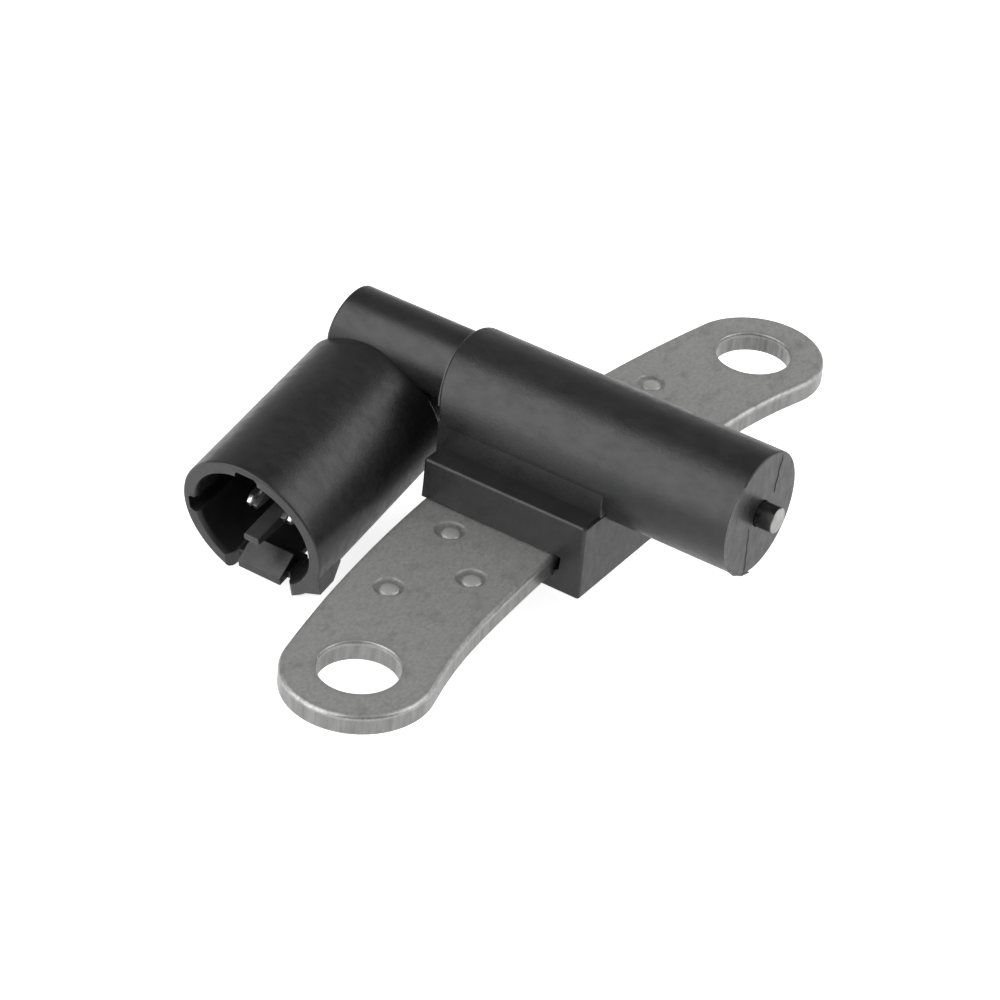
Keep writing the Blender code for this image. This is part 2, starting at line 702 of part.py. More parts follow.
def coil_bobbin(barrel):
    """The spool that carries the winding, with a collar behind it for the magnet."""
    profile = [
        (SPOOL_BORE, FLANGE_FRONT_X),
        (FLANGE_R, FLANGE_FRONT_X),
        (FLANGE_R, FLANGE_FRONT_X - FLANGE),
        (SPOOL_R, FLANGE_FRONT_X - FLANGE),
        (SPOOL_R, FLANGE_BACK_X + FLANGE),
        (FLANGE_R, FLANGE_BACK_X + FLANGE),
        (FLANGE_R, FLANGE_BACK_X),
        (COLLAR_R, FLANGE_BACK_X),
        (COLLAR_R, COLLAR_BACK_X),
        (COLLAR_BORE, COLLAR_BACK_X),
        (COLLAR_BORE, FLANGE_BACK_X),
        (SPOOL_BORE, FLANGE_BACK_X),
    ]
    made = turned("coil_bobbin", profile, BOBBIN_PLASTIC, barrel, False, SMALL_STEPS, True)
    for side in (-1, 1):
        y = -side * STRIP_PITCH / 2
        low = (FLANGE_BACK_X - 1, y - NOTCH_WIDTH / 2, BARREL_Z + lead_height(y) - LEAD_R - GAP)
        high = (FLANGE_BACK_X + FLANGE + 1, y + NOTCH_WIDTH / 2, BARREL_Z + FLANGE_R + 1)
        boolean(made, box("lead notch", low, high), "DIFFERENCE")
    return made


def lead_height(y):
    """How high over the barrel's axis a lead runs along the collar."""
    return sqrt((COLLAR_R + GAP + LEAD_R) ** 2 - y**2) + 0.1


def sleeve(name, inner, outer, back, front, recipe, barrel):
    """A tube about the barrel's axis."""
    profile = [(inner, front), (outer, front), (outer, back), (inner, back)]
    return turned(name, profile, recipe, barrel, False, SMALL_STEPS, True)


def coil_lead(name, side, barrel):
    """The end of the winding's wire, through the flange's notch, along the collar and down to its strip."""
    y = -side * STRIP_PITCH / 2
    high = BARREL_Z + lead_height(y)
    end_z = NECK_Z + STRIP_THICK / 2 + GAP + LEAD_R
    route = (
        (FLANGE_BACK_X + FLANGE - 0.1, high),
        (COLLAR_BACK_X - LEAD_DROP * 0.15, high),
        (COLLAR_BACK_X - LEAD_DROP * 0.35, high - 0.15),
        (COLLAR_BACK_X - LEAD_DROP * 0.6, (high + end_z) / 2),
        (COLLAR_BACK_X - LEAD_DROP * 0.85, end_z + 0.15),
        (STRIP_END_X - 0.1, end_z),
        (STRIP_END_X - LEAD_LAP, end_z),
    )
    curve = bpy.data.curves.new(name, "CURVE")
    curve.dimensions = "3D"
    curve.bevel_depth = LEAD_R * MM
    curve.bevel_resolution = 2
    curve.use_fill_caps = True
    spline = curve.splines.new("POLY")
    spline.points.add(len(route) - 1)
    for point, (x, z) in zip(spline.points, route):
        point.co = (x * MM, y * MM, z * MM, 1)
    curve.materials.append(material(COPPER))
    made = bpy.data.objects.new(name, curve)
    SENSOR.objects.link(made)
    return made


def solder_joint(name, side):
    """A bead of solder over the strip, round the lead's end."""
    y = -side * STRIP_PITCH / 2
    strip_top = NECK_Z + STRIP_THICK / 2
    base = strip_top + GAP
    profile = [(SOLDER_R * sin(radians(a)), SOLDER_R * cos(radians(a))) for a in range(0, 91, 15)]
    profile.append((0, 0))
    made = turned(name, profile, SOLDER, None, False, SMALL_STEPS // 2)
    lead_end = STRIP_END_X - LEAD_LAP
    made.location = Vector((lead_end + SOLDER_R / 3, y, base)) * MM
    hole_r = LEAD_R + GAP
    lead_z = base + LEAD_R
    low = (lead_end - GAP, y - hole_r, base - 0.2)
    high = (lead_end + 2 * SOLDER_R, y + hole_r, lead_z + hole_r)
    boolean(made, box(name + " wire", low, high), "DIFFERENCE")
    return made


clear_scene()
SENSOR = collection("Crankshaft position sensor")
HELPERS = collection("Cutters and joined forms")
BARREL_AXIS = empty("barrel_axis", (0, 0, BARREL_Z), (0, radians(90), 0))
SHROUD_AXIS = empty("shroud_axis", MOUTH, (radians(90) + PITCH, 0, 0))

mounting_bracket()
sensor_housing(SHROUD_AXIS, BARREL_AXIS)
contact("terminal_left", -1, SHROUD_AXIS)
contact("terminal_right", 1, SHROUD_AXIS)
terminal_spacer()
for piece, piece_r, piece_back, piece_front, piece_edge, recipe in (
    ("pole_pin", PIN_R, FLANGE_BACK_X, TIP_X + PIN_PROUD, PIN_EDGE, POLE_STEEL),
    ("magnet", MAGNET_R, MAGNET_BACK_X, MAGNET_FRONT_X, MAGNET_EDGE, MAGNET_GREY),
    ("flux_plate", MAGNET_R, COLLAR_BACK_X, PLATE_FRONT_X, PIN_EDGE, POLE_STEEL),
):
    edges = (piece_edge, piece_edge)
    smooth(rod(piece, piece_r, piece_back, piece_front, edges, recipe, BARREL_AXIS, False, SMALL_STEPS))
coil_bobbin(BARREL_AXIS)
sleeve("coil_winding", SPOOL_R + GAP, COIL_R, COIL_BACK_X, COIL_FRONT_X, COPPER, BARREL_AXIS)
sleeve("winding_tape", COIL_R + GAP, TAPE_R, COIL_BACK_X, COIL_FRONT_X, TAPE_YELLOW, BARREL_AXIS)
for lead_side, side_name in ((-1, "left"), (1, "right")):
    coil_lead("coil_lead_" + side_name, lead_side, BARREL_AXIS)
    solder_joint("solder_joint_" + side_name, lead_side)
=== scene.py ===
"""Crankshaft position sensor: moulded housing, stamped plate and contacts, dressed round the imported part.

Sizes are in millimetres until put() turns them into metres. +X runs along the barrel to the
sensing tip, +Y along the plate from hole to hole, +Z up.
"""

from math import atan2, ceil, cos, degrees, hypot, pi, radians, sin, sqrt

import bmesh
import bpy
import numpy as np
from mathutils import Matrix, Vector


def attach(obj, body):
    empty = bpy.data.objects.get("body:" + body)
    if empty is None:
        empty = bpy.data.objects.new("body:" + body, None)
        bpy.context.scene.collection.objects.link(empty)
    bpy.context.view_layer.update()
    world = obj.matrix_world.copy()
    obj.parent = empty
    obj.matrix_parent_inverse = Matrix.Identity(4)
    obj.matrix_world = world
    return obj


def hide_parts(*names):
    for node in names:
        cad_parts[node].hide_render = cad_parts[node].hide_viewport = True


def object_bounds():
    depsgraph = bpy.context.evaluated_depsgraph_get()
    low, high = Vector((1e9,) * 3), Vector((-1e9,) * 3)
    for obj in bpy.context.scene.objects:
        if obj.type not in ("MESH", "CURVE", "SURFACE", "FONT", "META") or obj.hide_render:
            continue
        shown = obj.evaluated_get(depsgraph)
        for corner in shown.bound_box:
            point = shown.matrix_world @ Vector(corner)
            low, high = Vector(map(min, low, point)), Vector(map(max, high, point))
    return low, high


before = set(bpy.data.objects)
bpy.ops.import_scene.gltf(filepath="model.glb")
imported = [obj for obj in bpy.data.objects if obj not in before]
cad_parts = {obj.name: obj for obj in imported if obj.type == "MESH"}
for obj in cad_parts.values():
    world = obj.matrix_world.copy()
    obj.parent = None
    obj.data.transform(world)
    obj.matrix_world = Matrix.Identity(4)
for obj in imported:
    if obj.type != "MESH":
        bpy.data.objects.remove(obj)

cad_box = [list(corner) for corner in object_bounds()]

MM = 0.001
TIGHT = 0.06  # gap left where plastic is moulded onto metal

# Barrel, web, block and neck
BARREL_Z = 14.9
BARREL_R = 8.1
BARREL_BACK = -15.3
BARREL_LEAN = 0.15  # of the rear face, for each millimetre of rise
TIP_X = 26.85
TIP_LINES = (  # across, and over the plate's top
    ((3.92, 16.64), (3.3, 14.31), (2.69, 11.52)),
    ((-2.54, 9.09), (-2.47, 6.65), (-2.37, 2.44)),
)
CORE_R = 6.5
CORE_BACK = -13.15
CORE_FRONT = 25.25
NECK_Z = 17.4
NECK_R = 4.85
NECK_END = -34.8
NECK_FRONT = -13.6
NECK_LEAN = 0.17
BLOCK = (-14.7, 9.35, 11.5, 10.7)  # back, tip side, half width, top
BLOCK_EDGE = 0.45
FACE_EDGE = 0.4
RELIEF = 1.3  # how far the notch by the plate's inner edge runs in from each face
WEB = (-15.3, 9.27, 8.03, 8.5)  # back, tip side, half width, underside

# Plate
PLATE_BOTTOM = 2.2
PLATE_TOP = 4.9
HOLE_Y = 45.0
HOLE_R = 5.0
EAR_R = 9.5
OUTER_X = -14.6
INNER_X = 5.1
INNER_R = 305.0
WAIST_R = 70.0
TOP_EDGE = 0.6
BOTTOM_EDGE = 0.2
HOLE_EDGE_SHARE = 0.35  # of the outline's own edge
PUNCH_R = 2.0
PUNCH_MARKS = ((-7.7, 15.2), (-6.7, 29.7), (0.0, 21.8))

# Connector
PITCH = radians(13.4)
MOUTH = np.array((-28.9, -27.773, 2.033))
ACROSS = np.array((1.0, 0.0, 0.0))
RISE = np.array((0.0, -sin(PITCH), cos(PITCH)))
INWARD = np.array((0.0, cos(PITCH), sin(PITCH)))
SHROUD_R = 10.6
RIM_EDGE = 0.28
SHROUD_LENGTH = 26.2
SHOULDER_EDGE = 0.25
BOSS_R = 8.8
BOSS_BACK = 32.55
BOSS_EDGE = 1.4
SOCKET_R = 8.6
SOCKET_DEPTH = 14.0
SOCKET_DRAFT = 0.2
LEAD_IN_R = 8.86
KEYWAY_R = 9.8
TOP_KEYWAY = (-1.3, 2.1)  # its two sides
SIDE_KEYWAY = (-1.4, 1.2)
SLOT_SIDES = (-4.5, 4.25)
SLOT_DEPTH = 10.0
SLOT_FLARE_R = 1.5
UNDER_SLOT = 16  # points of the wall's section between the slot's two sides
TONGUE_UNDER = -8.2
TONGUE_THICK = 1.15
RAMP_RISE = 2.95
RAMP_HALF = 3.3
POST_HALF = 1.15

# Contacts and pole piece
TAB_PITCH = 4.4  # of the legs
TIP_PITCH = 5.3  # of the tabs in the socket
STRIP_PITCH = 3.4  # of the strips in the neck
TAB_FRONT = 3.6
TAB_RISE = -0.05
LOBE_HALF = (0.43, 0.8)  # half width and half height
LEG_HALF = 0.85
STRIP_HALF = 0.4  # of its thickness
STRIP_FRONT = -9.35
PIN_R = 1.68
PIN_BACK = 2.95
PIN_FRONT = 29.3

# The photograph's view, toward the plate's top at its middle
AZIMUTH, ELEVATION, ROLL = 31.375, 34.525, 5.05
VIEW_DISTANCE = 473.23
VIEW_SHIFT = (-8.71, -0.06)  # to the right, and up
FOCAL_SHARE = 3.76743  # focal length over the picture's width
SENSOR_WIDTH = 36.0
FLOOR_HALF = 6.0  # in metres
FLOOR_GAP = 0.0002  # in metres, under the part


def in_shroud(points):
    """Points given as x across, height over the socket's axis and depth behind the mouth, put in place."""
    points = np.asarray(points, float)
    return MOUTH + points[..., :1] * ACROSS + points[..., 1:2] * RISE + points[..., 2:3] * INWARD


def put(name, shells, material, slot, nodes, angle=32):
    """Makes one piece out of closed shells of points and faces, in millimetres."""
    form = bmesh.new()
    for points, faces in shells:
        mesh = bpy.data.meshes.new(name)
        mesh.from_pydata((np.asarray(points, float).reshape(-1, 3) * MM).tolist(), [], faces)
        shell = bmesh.new()
        shell.from_mesh(mesh)
        bmesh.ops.remove_doubles(shell, verts=shell.verts, dist=2e-7)
        bmesh.ops.dissolve_degenerate(shell, edges=shell.edges, dist=1e-7)
        loose = [vert for vert in shell.verts if not vert.link_faces]
        bmesh.ops.delete(shell, geom=loose, context="VERTS")
        bmesh.ops.recalc_face_normals(shell, faces=shell.faces)
        if shell.calc_volume(signed=True) < 0:
            bmesh.ops.reverse_faces(shell, faces=shell.faces)
        shell.to_mesh(mesh)
        shell.free()
        form.from_mesh(mesh)
        bpy.data.meshes.remove(mesh)
    mesh = bpy.data.meshes.new(name)
    form.to_mesh(mesh)
    form.free()
    mesh.materials.append(material)
    piece = bpy.data.objects.new(name, mesh)
    bpy.context.scene.collection.objects.link(piece)
    mesh.shade_smooth()
    mesh.set_sharp_from_angle(angle=radians(angle))
    weighted = piece.modifiers.new("Even shading", "WEIGHTED_NORMAL")
    weighted.keep_sharp = True
    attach(piece, "root")
    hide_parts(*nodes)


def quads(first, second):
    """Faces between two rows of point numbers, or between two stacks of such rows."""
    corners = (first[..., :-1], first[..., 1:], second[..., 1:], second[..., :-1])
    return np.stack(corners, -1).reshape(-1, 4).tolist()


def ring_faces(rows, columns, start=0):
    """Faces between neighbouring rings of a grid of points, numbered from a start."""
    index = start + np.arange(rows * columns).reshape(rows, columns)
    index = np.hstack([index, index[:, :1]])
    return quads(index[:-1], index[1:])


def filleted(corners, radii, steps=5, closed=True):
    """A path through corners, each replaced by an arc tangent to both of its sides.

    The arc starts its radius times the tangent of half the turn before the corner.
    """
    corners = np.asarray(corners, float)
    path = []
    last = len(corners) - 1
    for index, (corner, radius) in enumerate(zip(corners, radii)):
        if radius <= 0 or (not closed and index in (0, last)):
            path.append(corner[None])
            continue
        before = corners[index - 1] - corner
        after = corners[(index + 1) % len(corners)] - corner
        before /= np.linalg.norm(before)
        after /= np.linalg.norm(after)
        half = np.arccos(np.clip(before @ after, -1, 1)) / 2
        centre = corner + (before + after) / np.linalg.norm(before + after) * radius / np.sin(half)
        start = corner + before * radius / np.tan(half) - centre
        stop = corner + after * radius / np.tan(half) - centre
        share = np.linspace(0, 1, steps + 1)[:, None]
        sweep = pi - 2 * half
        weights = np.sin((1 - share) * sweep), np.sin(share * sweep)
        path.append(centre + (weights[0] * start + weights[1] * stop) / np.sin(sweep))
    return np.vstack(path)


def turned(profile, height, steps=144, lean=0.0):
    """A profile of x and radius r turned about an axis along X at a height.

    At angle a the point is x, r sin a, height + r cos a. A lean moves points near the profile's
    back further back, by their height over the axis.
    """
    profile = np.asarray(profile, float)
    angle = np.linspace(0, 2 * pi, steps, endpoint=False)
    x = np.repeat(profile[:, :1], steps, 1)
    r = profile[:, 1:]
    up = r * np.cos(angle)
    if lean:
        x = x - lean * up * (profile[:, :1] < CORE_BACK - 0.5)
    points = np.stack([x, r * np.sin(angle), height + up], -1)
    return points, ring_faces(len(profile), steps)


def carried(loops):
    """A closed loop of points carried along stations, with a flat face at each end."""
    loops = np.asarray(loops, float)
    rows, columns = loops.shape[:2]
    faces = ring_faces(rows, columns)
    faces.append(list(range(columns))[::-1])
    faces.append(list(range((rows - 1) * columns, rows * columns)))
    return loops, faces


def inset(loop, amount):
    """A closed planar loop moved inwards: each point goes along the mean of its two sides' normals."""
    before = loop - np.roll(loop, 1, 0)
    after = np.roll(loop, -1, 0) - loop
    normals = [np.stack([-side[:, 1], side[:, 0]], 1) for side in (before, after)]
    normals = [side / np.maximum(np.linalg.norm(side, axis=1, keepdims=True), 1e-9) for side in normals]
    mean = normals[0] + normals[1]
    area = (loop[:, 0] * np.roll(loop[:, 1], -1) - loop[:, 1] * np.roll(loop[:, 0], -1)).sum()
    return loop + np.sign(area) * amount * mean * 2 / np.maximum((mean**2).sum(1, keepdims=True), 0.5)


def rounded_bar(loop, low, high, edge, place, steps=4):
    """A planar loop given a thickness, its two rims rounded.

    Near an end at distance s the loop moves inwards by edge - sqrt(edge^2 - (edge - s)^2).
    """
    turn = np.linspace(0, pi / 2, steps + 1)
    near = edge * (1 - np.cos(turn))
    move = edge * (1 - np.sin(turn))
    heights = np.concatenate([low + near, high - near[::-1]])
    moves = np.concatenate([move, move[::-1]])
    rows = [place(inset(loop, inward), height) for inward, height in zip(moves, heights)]
    return carried(rows)


def rounded_block(low, high, edge, place=None):
    """A box with rounded edges and corners.

    It is a sphere's grid, each point pushed out by the box's half size without the rounding.
    """
    low, high = np.asarray(low, float), np.asarray(high, float)
    quarter = (np.arange(6) + 0.5) / 6 * pi / 2
    quarter = np.concatenate([[1e-4], quarter, [pi / 2 - 1e-4]])
    polar = np.concatenate([quarter, pi - quarter[::-1]])[:, None]
    about = np.concatenate([quarter + turn * pi / 2 for turn in range(4)])[None]
    level = np.sin(polar)
    out = np.stack([level * np.cos(about), level * np.sin(about), np.cos(polar) + 0 * about], -1)
    points = (low + high) / 2 + np.sign(out) * ((high - low) / 2 - edge) + edge * out
    return carried(place(points) if place else points)


def barrel():
    """The hollow barrel: a profile turned about X, from the rear face round to the tip and the core space."""
    hole_r = PIN_R + TIGHT
    corners = [(BARREL_BACK, 0), (BARREL_BACK, BARREL_R), (TIP_X, BARREL_R), (TIP_X, hole_r)]
    corners += [(CORE_FRONT, hole_r), (CORE_FRONT, CORE_R), (CORE_BACK, CORE_R), (CORE_BACK, 0)]
    profile = filleted(corners, [0, 0.5, 0.22, 0.1, 0, 0.3, 0.3, 0], 6, False)
    return turned(profile, BARREL_Z, 192, BARREL_LEAN)


def neck():
    """The neck, a rod turned about X from inside the barrel, its end leaning in toward the top."""
    corners = [(NECK_END, 0), (NECK_END, NECK_R), (NECK_FRONT, NECK_R), (NECK_FRONT, 0)]
    points, faces = turned(filleted(corners, [0, 0.5, 0.1, 0], 6, False), NECK_Z)
    rise = points[..., 2] - NECK_Z
    points[..., 0] += NECK_LEAN * (rise - 0.3 * NECK_R) * (points[..., 0] < NECK_END + 1)
    return points, faces


def slot_flare(depth):
    """How much further out the latch slot's sides stand near the mouth: an arc of a quarter circle."""
    share = np.clip((SLOT_FLARE_R - depth) / SLOT_FLARE_R, 0, 0.966)
    return SLOT_FLARE_R * (1 - np.sqrt(1 - share**2))


def socket_loop(radius, flare, outer=None):
    """The socket's section from the slot's right side round over the top to its left side, then under it.

    Arcs of one radius are joined by the straight sides of the top and the left keyway. With an outer
    radius each point goes out along its own direction from the axis.
    """
    left, right = SLOT_SIDES[0] - 0.6 * flare, SLOT_SIDES[1] + flare
    top_left, top_right = TOP_KEYWAY
    low, high = SIDE_KEYWAY
    floor = KEYWAY_R - 0.05

    def at_x(x, sign=1):
        return np.arctan2(sign * np.sqrt(radius**2 - x**2), x)

    def at_height(height):
        return pi - np.arcsin(height / radius)

    def arc(start, stop, count):
        angle = np.linspace(start, stop, count)
        return radius * np.stack([np.cos(angle), np.sin(angle)], 1)

    def line(start, stop, count):
        return np.linspace(start, stop, count)[1:-1]

    def on_wall(aside):
        return sqrt(radius**2 - aside**2)

    parts = [
        arc(at_x(right, -1), at_x(top_right), 48),
        line((top_right, on_wall(top_right)), (top_right, KEYWAY_R), 3),
        line((top_right, floor), (top_left, floor), 10),
        line((top_left, KEYWAY_R), (top_left, on_wall(top_left)), 3),
        arc(at_x(top_left), at_height(high), 26),
        line((-on_wall(high), high), (-KEYWAY_R, high), 3),
        line((-floor, high), (-floor, low), 8),
        line((-KEYWAY_R, low), (-on_wall(low), low), 3),
        arc(at_height(low), 2 * pi + at_x(left, -1), 22),
        arc(2 * pi + at_x(left, -1), 2 * pi + at_x(right, -1), UNDER_SLOT + 2)[1:-1],
    ]
    loop = np.vstack(parts)
    if outer is None:
        return loop
    loop = loop / np.linalg.norm(loop, axis=1, keepdims=True) * outer
    for index, x in ((0, right), (len(loop) - UNDER_SLOT - 1, left)):
        loop[index] = (x, -sqrt(outer**2 - x**2))
    return loop


def shroud():
    """The connector's shell: an inner and an outer wall of the same columns, joined at rim, slot and back.

    Both walls are rings carried behind the mouth. The columns under the slot start at its end.
    """
    rim = np.array([0, 0.03, 0.08, 0.16, RIM_EDGE])
    outer_rim = SHROUD_R - RIM_EDGE + np.sqrt(RIM_EDGE**2 - (RIM_EDGE - rim) ** 2)
    slot_rows = np.concatenate([rim, [0.6, 0.85, 1.1, 1.3, SLOT_FLARE_R, 4, 7, SLOT_DEPTH]])
    outer_radius = np.interp(slot_rows, rim, outer_rim)
    socket_radii = [LEAD_IN_R + 0.12, LEAD_IN_R, SOCKET_R, SOCKET_R - SOCKET_DRAFT]
    inner_radius = np.interp(slot_rows, [0, 0.05, 0.6, SOCKET_DEPTH], socket_radii)
    flares = slot_flare(slot_rows)
    outer = [socket_loop(r, flare, out) for r, flare, out in zip(inner_radius, flares, outer_radius)]
    inner = [socket_loop(r, flare) for r, flare in zip(inner_radius, flares)]
    back = SHROUD_LENGTH - SHOULDER_EDGE
    turn = np.linspace(0, pi / 2, 7)
    rear_rows = np.concatenate([[20], back + SHOULDER_EDGE * np.sin(turn)])
    rear_radius = np.concatenate([[SHROUD_R], SHROUD_R - SHOULDER_EDGE * (1 - np.cos(turn))])
    outer += [socket_loop(SOCKET_R, 0, out) for out in rear_radius]
    floor_rows = np.array([12, SOCKET_DEPTH])
    inner += [socket_loop(SOCKET_R - share * SOCKET_DRAFT, 0) for share in (0.85, 1)]
    depths = np.concatenate([slot_rows, rear_rows, slot_rows, floor_rows])
    loops = np.stack(outer + inner)
    columns = loops.shape[1]
    points = np.concatenate([loops, np.broadcast_to(depths[:, None, None], loops.shape[:2] + (1,))], -1)
    open_rows, outer_rows, inner_rows = len(slot_rows), len(outer), len(inner)
    full = columns - UNDER_SLOT - 1  # columns from the slot's right side to its left side
    index = np.arange(points.shape[0] * columns).reshape(-1, columns)
    index = np.hstack([index, index[:, :1]])

    def wall(first, last, start, stop):
        rows = index[first:last, start:stop]
        return quads(rows[:-1], rows[1:])

    faces = wall(0, outer_rows, 0, full + 1)
    faces += wall(open_rows - 1, outer_rows, full, columns + 1)
    faces += wall(outer_rows, outer_rows + inner_rows, 0, full + 1)
    faces += wall(outer_rows + open_rows - 1, outer_rows + inner_rows, full, columns + 1)
    faces += quads(index[0, :full + 1], index[outer_rows, :full + 1])
    faces += quads(index[open_rows - 1, full:], index[outer_rows + open_rows - 1, full:])
    for column in (0, full):
        faces += quads(index[:open_rows, column], index[outer_rows:outer_rows + open_rows, column])
    faces.append(index[outer_rows - 1, :-1].tolist())
    faces.append(index[outer_rows + inner_rows - 1, :-1].tolist())
    return in_shroud(points), faces


def boss():
    """The slimmer end behind the shoulder: a profile of depth and radius turned about the socket's axis."""
    corners = [(SHROUD_LENGTH - 1, 0), (SHROUD_LENGTH - 1, BOSS_R), (BOSS_BACK, BOSS_R), (BOSS_BACK, 0)]
    points, faces = turned(filleted(corners, [0, 0, BOSS_EDGE, 0], 6, False), 0)
    return in_shroud(points[..., [1, 2, 0]]), faces


def lug():
    """The corner beside the slot: a five-sided section carried behind the mouth and drawn in at the end."""
    section = np.array([(6.3, -8.0), (9.95, -6.4), (9.95, -2.0), (8.9, -2.4), (6.2, -6.9)])
    section = filleted(section, [0.15, 0.2, 0.1, 0, 0], 3)
    rows = []
    for depth, across, down in ((0.05, 0.992, 0.992), (0.12, 1, 1), (2.85, 1, 1), (5.05, 0.965, 0.78)):
        row = section * (across, down)
        rows.append(np.insert(row, 2, depth, 1))
    return carried(in_shroud(rows))


def key_post():
    """The post between the contacts: a slanted side view carried across it with rounded rims."""
    side = filleted([(-0.3, -2.0), (-0.3, -1.0), (14.2, -1.0), (14.2, -4.0)][::-1], [0, 0, 0.3, 0.35], 4)

    def place(loop, x):
        return in_shroud(np.stack([np.full(len(loop), x), loop[:, 1], loop[:, 0]], 1))

    return rounded_bar(side, -POST_HALF, POST_HALF, 0.18, place)


def latch():
    """The tongue in the slot, broad by the mouth, its root, and the ramp that catches the plug.

    The ramp is a side view carried across, drawn in at both faces, and leans a little to the right.
    """
    under, top = TONGUE_UNDER, TONGUE_UNDER + TONGUE_THICK
    wide = rounded_block((-4.2, under, 1.6), (4.0, top - 0.05, 5.4), 0.12, in_shroud)
    tongue = rounded_block((-3.9, under + 0.02, 4.6), (2.9, top - 0.09, 12), 0.12, in_shroud)
    root = rounded_block((-4.2, -9.6, 9.4), (3.5, top, 12.4), 0.1, in_shroud)
    corners = [(0, under), (0, top), (3.5, under + RAMP_RISE), (3.5, under)]
    side = filleted(corners, [0.08, 0.15, 0.22, 0], 4)
    rows = []
    for x, move in ((-1, 0.12), (-0.985, 0.04), (-0.95, 0), (0.95, 0), (0.985, 0.04), (1, 0.12)):
        loop = inset(side, move)
        share = (loop[:, 1] - under) / RAMP_RISE
        rows.append(np.stack([x * RAMP_HALF + 0.2 + 0.1 * share, loop[:, 1], loop[:, 0]], 1))
    return [wide, tongue, root, carried(in_shroud(rows))]


def block():
    """The block: a C-shaped section that grips the plate, carried along Y, with a short relief by each face.

    The rims of both faces are rounded: the outer corners by FACE_EDGE, the mouth round the plate hardly.
    """
    back, tip, half, top = BLOCK
    lower, upper = PLATE_BOTTOM - TIGHT, PLATE_TOP + TIGHT
    edge = INNER_X + 0.3

    def section(relief):
        corners = [(back, 0), (tip, 0), (tip, top), (back, top), (back, upper)]
        corners += [(edge + relief, upper + 0.15 * relief), (edge + 0.8 * relief, 3.3), (edge, 2.9)]
        corners += [(edge, lower), (back, lower)]
        radii = [BLOCK_EDGE] * 4 + [0.1, relief / 5, relief / 5, 0, 0, 0.1]
        return filleted(corners, radii, steps)

    steps = 5
    outer_points = 4 * (steps + 1)
    share = np.where(np.arange(len(section(1))) < outer_points, 1.0, 0.12)[:, None]
    turn = np.linspace(0, pi / 2, 5)
    rows = []
    for near, move in zip(FACE_EDGE * (1 - np.cos(turn)), FACE_EDGE * (1 - np.sin(turn))):
        rows.append((-half + near, inset(section(0.85), move * share)))
    rows.append((-half + RELIEF, section(0.7)))
    rows.append((-half + RELIEF + 0.1, section(0.02)))
    rows += [(-y, loop) for y, loop in reversed(rows)]
    return carried([np.insert(loop, 1, y, 1) for y, loop in rows])


def web():
    """The web between the block and the barrel."""
    back, tip, half, under = WEB
    return rounded_block((back, -half, under), (tip, half, BARREL_Z - 0.4), 0.12)


def arc_points(centre, radius, start, stop, step):
    """Points on an arc between two angles in degrees."""
    angle = np.radians(np.linspace(start, stop, max(2, ceil(abs(stop - start) / step)) + 1))
    return np.stack([centre[0] + radius * np.cos(angle), centre[1] + radius * np.sin(angle)], 1)


def plate_outline():
    """The plate's edge: outer arc, round ears and a shallow inner arc, joined by gentle fillets."""
    outer_r = (EAR_R**2 - OUTER_X**2 - HOLE_Y**2) / (2 * (OUTER_X + EAR_R))
    outer, inner, ear = (OUTER_X + outer_r, 0), (INNER_X + INNER_R, 0), (0, HOLE_Y)
    first, second = INNER_R - WAIST_R, EAR_R + WAIST_R
    apart = hypot(ear[0] - inner[0], ear[1])
    along = (apart**2 + first**2 - second**2) / (2 * apart)
    aside = sqrt(first**2 - along**2)
    dx, dy = (ear[0] - inner[0]) / apart, ear[1] / apart
    fillet = (inner[0] + along * dx - aside * dy, inner[1] + along * dy + aside * dx)

    def bearing(centre, point):
        return degrees(atan2(point[1] - centre[1], point[0] - centre[0])) % 360

    touch = bearing(outer, ear)
    on_ear = degrees(atan2(fillet[1] - ear[1], fillet[0] - ear[0]))
    half = [
        arc_points(outer, outer_r, 180, touch, 0.8),
        arc_points(ear, EAR_R, touch, on_ear, 3)[1:],
        arc_points(fillet, WAIST_R, on_ear + 180, bearing(inner, fillet), 3)[1:],
        arc_points(inner, INNER_R, bearing(inner, fillet), 180, 0.5)[1:],
    ]
    half = np.vstack(half)
    other = half[::-1][1:-1] * (1, -1)
    return np.vstack([half, other])


